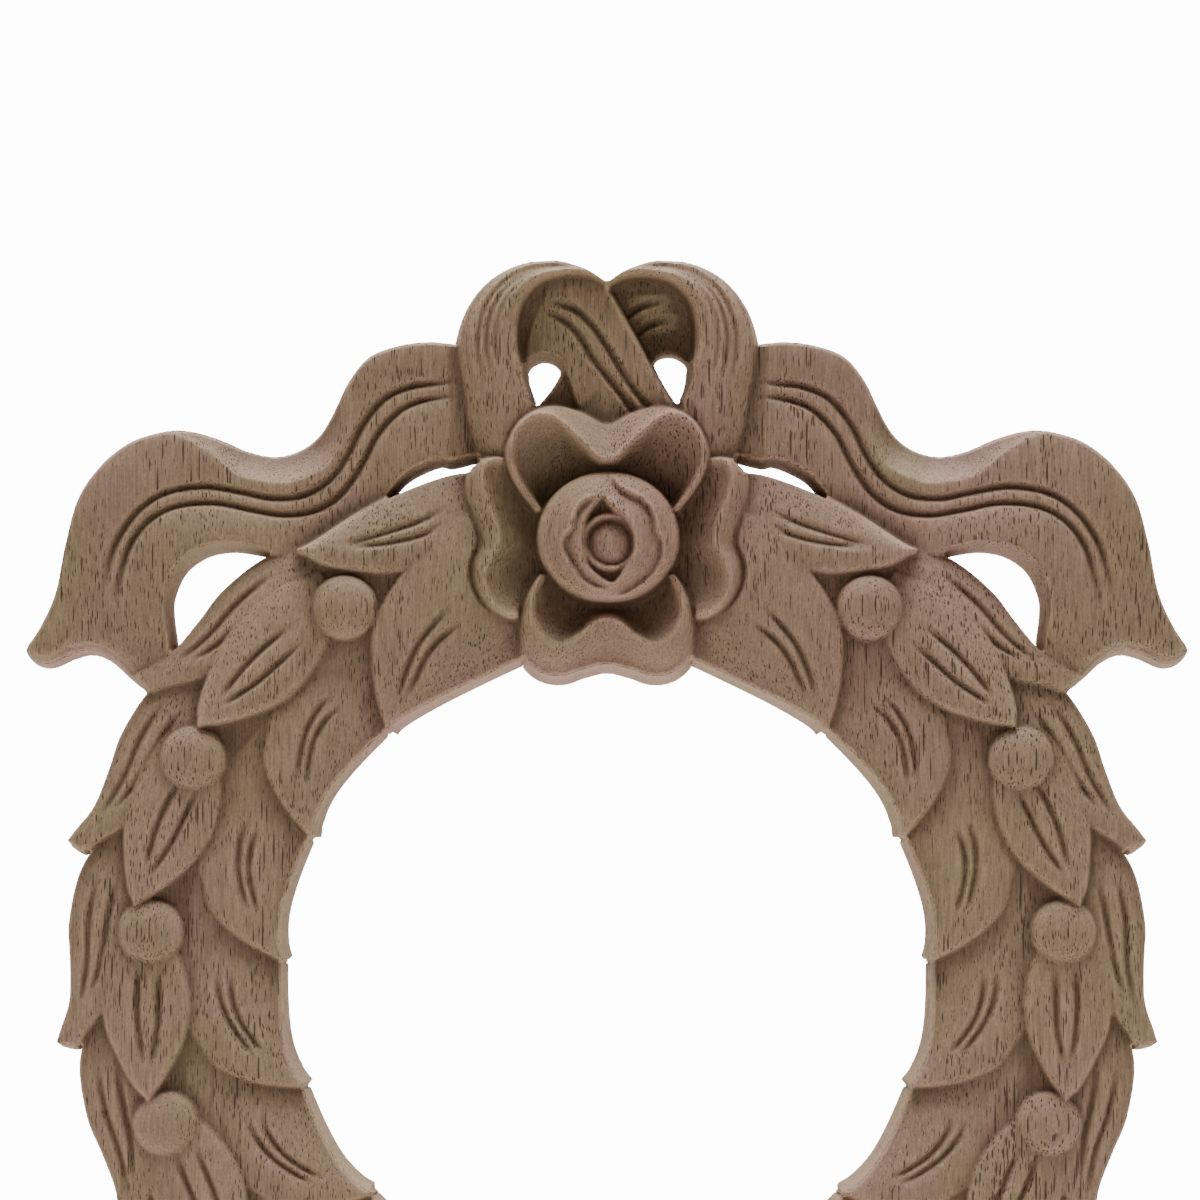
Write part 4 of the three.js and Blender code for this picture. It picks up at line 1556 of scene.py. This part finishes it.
    def build(self, finish: RawRubberwood) -> bpy.types.Object:
        """Builds the piece and dresses it.

        Args:
            finish: The finish of the wood.

        Returns:
            The finished object.
        """
        inside, painted_shade_sheet = self.bevel()
        points, faces = self.thinned(*self.front())
        carved = len(points)
        points, sides, border = self.wall(points, self.rim(faces), inside)
        points, closing = self.back(points, border)
        faces = np.vstack([faces, sides, closing])
        mesh = self.mesh_of("carved_wreath", points * MM, faces)
        mesh.validate()
        mesh.polygons.foreach_set("use_smooth", np.ones(len(mesh.polygons), bool))
        mesh.set_sharp_from_angle(angle=math.radians(self.sharp_angle))
        # Painted shade and highlight for the colour: read from the sheet on the front, and a fixed light
        # tone on the walls.
        painted_shade_and_highlight = mesh.attributes.new("painted_shade_and_highlight", "FLOAT", "POINT")
        # Painted light on the walls: every wall point gets the fixed light tone.
        depth = np.where(np.arange(len(points)) < carved,
                         self.board.sample(painted_shade_sheet, points[:, [0, 2]]), self.wall_painted_light)
        painted_shade_and_highlight.data.foreach_set("value", depth)
        piece = bpy.data.objects.new("carved_wreath", mesh)
        bpy.context.scene.collection.objects.link(piece)
        mesh.materials.append(finish.build())
        return piece


@dataclass(frozen=True)
class SoftLight:
    """A soft square light that faces the wreath.

    Attributes:
        name: What it is called.
        place: Where it hangs, in metres.
        size: The length of its side, in metres.
        power: Its power in watts.
        colour: Its sRGB colour.
    """

    name: str
    place: tuple[float, float, float]
    size: float
    power: float
    colour: str


@dataclass
class Studio:
    """The camera, the soft lights and the pale floor."""

    camera_place: tuple[float, float, float] = (-1.2, -648.0, -66.0)
    look_z: float = -50.0
    middle_z: float = -9.5  # mm, the height that the middle of the picture shows
    front_depth: float = 8.0  # mm, the carved front that the width below is measured on
    frame_width: float = 205.0  # mm of the object's front across the picture
    sensor_width: float = 36.0
    floor_z: float = -168.2
    floor_reach: tuple[float, float, float] = (0.9, 0.42, 0.9)  # metres to the front, back and sides
    aim_below: float = 0.05  # metres, the lights aim at a place this far below the rose
    lights: tuple[SoftLight, ...] = (
        SoftLight("overhead", (0.0, -0.03, 0.78), size=0.6, power=15.5, colour="#F1F3FF"),
        SoftLight("front", (-0.25, -0.95, 0.45), size=0.7, power=0.65, colour="#FFF6EA"))
    backdrop: float = 14.0  # strength of the white that is seen behind the object
    tint_span: Pair = (-0.7, 0.7)  # how far down and up the floor's tint turns to the daylight's
    side_span: Pair = (-0.9, 0.25)  # from the camera's side to behind, where the room light grows
    low_tint: str = "#FFE9C4"  # a warm floor
    high_tint: str = "#E8ECFF"  # cool daylight
    room_light: Pair = (0.02, 0.85)  # from the camera's side, and from the sides and behind

    def camera(self) -> None:
        """Stands the camera in front of the wreath, a little below the rose."""
        lens = bpy.data.cameras.new("camera")
        seat = bpy.data.objects.new("camera", lens)
        bpy.context.scene.collection.objects.link(seat)
        seat.location = [value * MM for value in self.camera_place]
        rise = math.atan2(self.look_z - self.camera_place[2], -self.camera_place[1])
        seat.rotation_euler = (math.pi / 2 + rise, 0, 0)
        lens.sensor_width = self.sensor_width
        lens.lens = self.sensor_width * (-self.camera_place[1] - self.front_depth) / self.frame_width
        lens.shift_y = (self.middle_z - self.look_z) / self.frame_width
        bpy.context.scene.camera = seat

    def hang(self, light: SoftLight) -> None:
        """Hangs one light.

        Args:
            light: The light.
        """
        lamp = bpy.data.lights.new(light.name, "AREA")
        lamp.size = light.size
        lamp.energy = light.power
        lamp.color = linear(light.colour)[:3]
        hung = bpy.data.objects.new(light.name, lamp)
        bpy.context.scene.collection.objects.link(hung)
        hung.location = light.place
        x, y, z = light.place[0], light.place[1], light.place[2] + self.aim_below
        hung.rotation_euler = (math.atan2(math.hypot(x, y), z), 0, math.atan2(-x, y) + math.pi)
        hung.visible_camera = False

    def floor(self) -> None:
        """Lays the pale floor under the wreath."""
        mesh = bpy.data.meshes.new("floor")
        near, far, side = self.floor_reach
        corners = [(-side, -near), (side, -near), (side, far), (-side, far)]
        mesh.from_pydata([(x, y, self.floor_z * MM) for x, y in corners], [], [(0, 1, 2, 3)])
        plane = bpy.data.objects.new("floor", mesh)
        bpy.context.scene.collection.objects.link(plane)
        mesh.materials.append(MattPaint().build())

    def surroundings(self) -> None:
        """A white backdrop that lights the object from behind and the sides more than from the front."""
        world = bpy.data.worlds.new("surroundings")
        bpy.context.scene.world = world
        world.use_nodes = True
        tree = world.node_tree
        tree.nodes.clear()
        seen = add_node(tree, "ShaderNodeBackground", {0: (1, 1, 1, 1), 1: self.backdrop})
        way = add_node(tree, "ShaderNodeSeparateXYZ", {0: add_node(tree, "ShaderNodeTexCoord").outputs[0]})
        low, high = self.tint_span
        tint = add_node(tree, "ShaderNodeMapRange", {0: way.outputs[2], 1: low, 2: high}).outputs[0]
        colour = add_node(tree, "ShaderNodeMix",
                          {0: tint, 6: linear(self.low_tint), 7: linear(self.high_tint)},
                          data_type="RGBA").outputs[2]
        (near, far), (weak, strong) = self.side_span, self.room_light
        strength = add_node(tree, "ShaderNodeMapRange",
                            {0: way.outputs[1], 1: near, 2: far, 3: weak, 4: strong},
                            interpolation_type="SMOOTHSTEP").outputs[0]
        lit = add_node(tree, "ShaderNodeBackground", {0: colour, 1: strength})
        path = add_node(tree, "ShaderNodeLightPath")
        mixed = add_node(tree, "ShaderNodeMixShader",
                         {0: path.outputs["Is Camera Ray"], 1: lit.outputs[0], 2: seen.outputs[0]})
        add_node(tree, "ShaderNodeOutputWorld", {0: mixed.outputs[0]})

    def build(self) -> None:
        """Sets up the whole studio."""
        self.camera()
        for light in self.lights:
            self.hang(light)
        self.floor()
        self.surroundings()


def main() -> None:
    """Carves the board, closes it into one piece and sets up the studio."""
    logging.basicConfig(level=logging.INFO, format="%(message)s")
    board = Board()
    for part in (LaurelRing(), RibbonTails(), Bow(), Rose()):
        part.carve(board)
        LOG.info("carved %s", type(part).__name__)
    board.soften()
    piece = CarvedPanel(board).build(RawRubberwood())
    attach(piece, "root")
    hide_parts("carved_wreath_applique")
    LOG.info("%s: %d triangles", piece.name, len(piece.data.polygons))
    Studio().build()


if __name__ == "__main__":
    main()
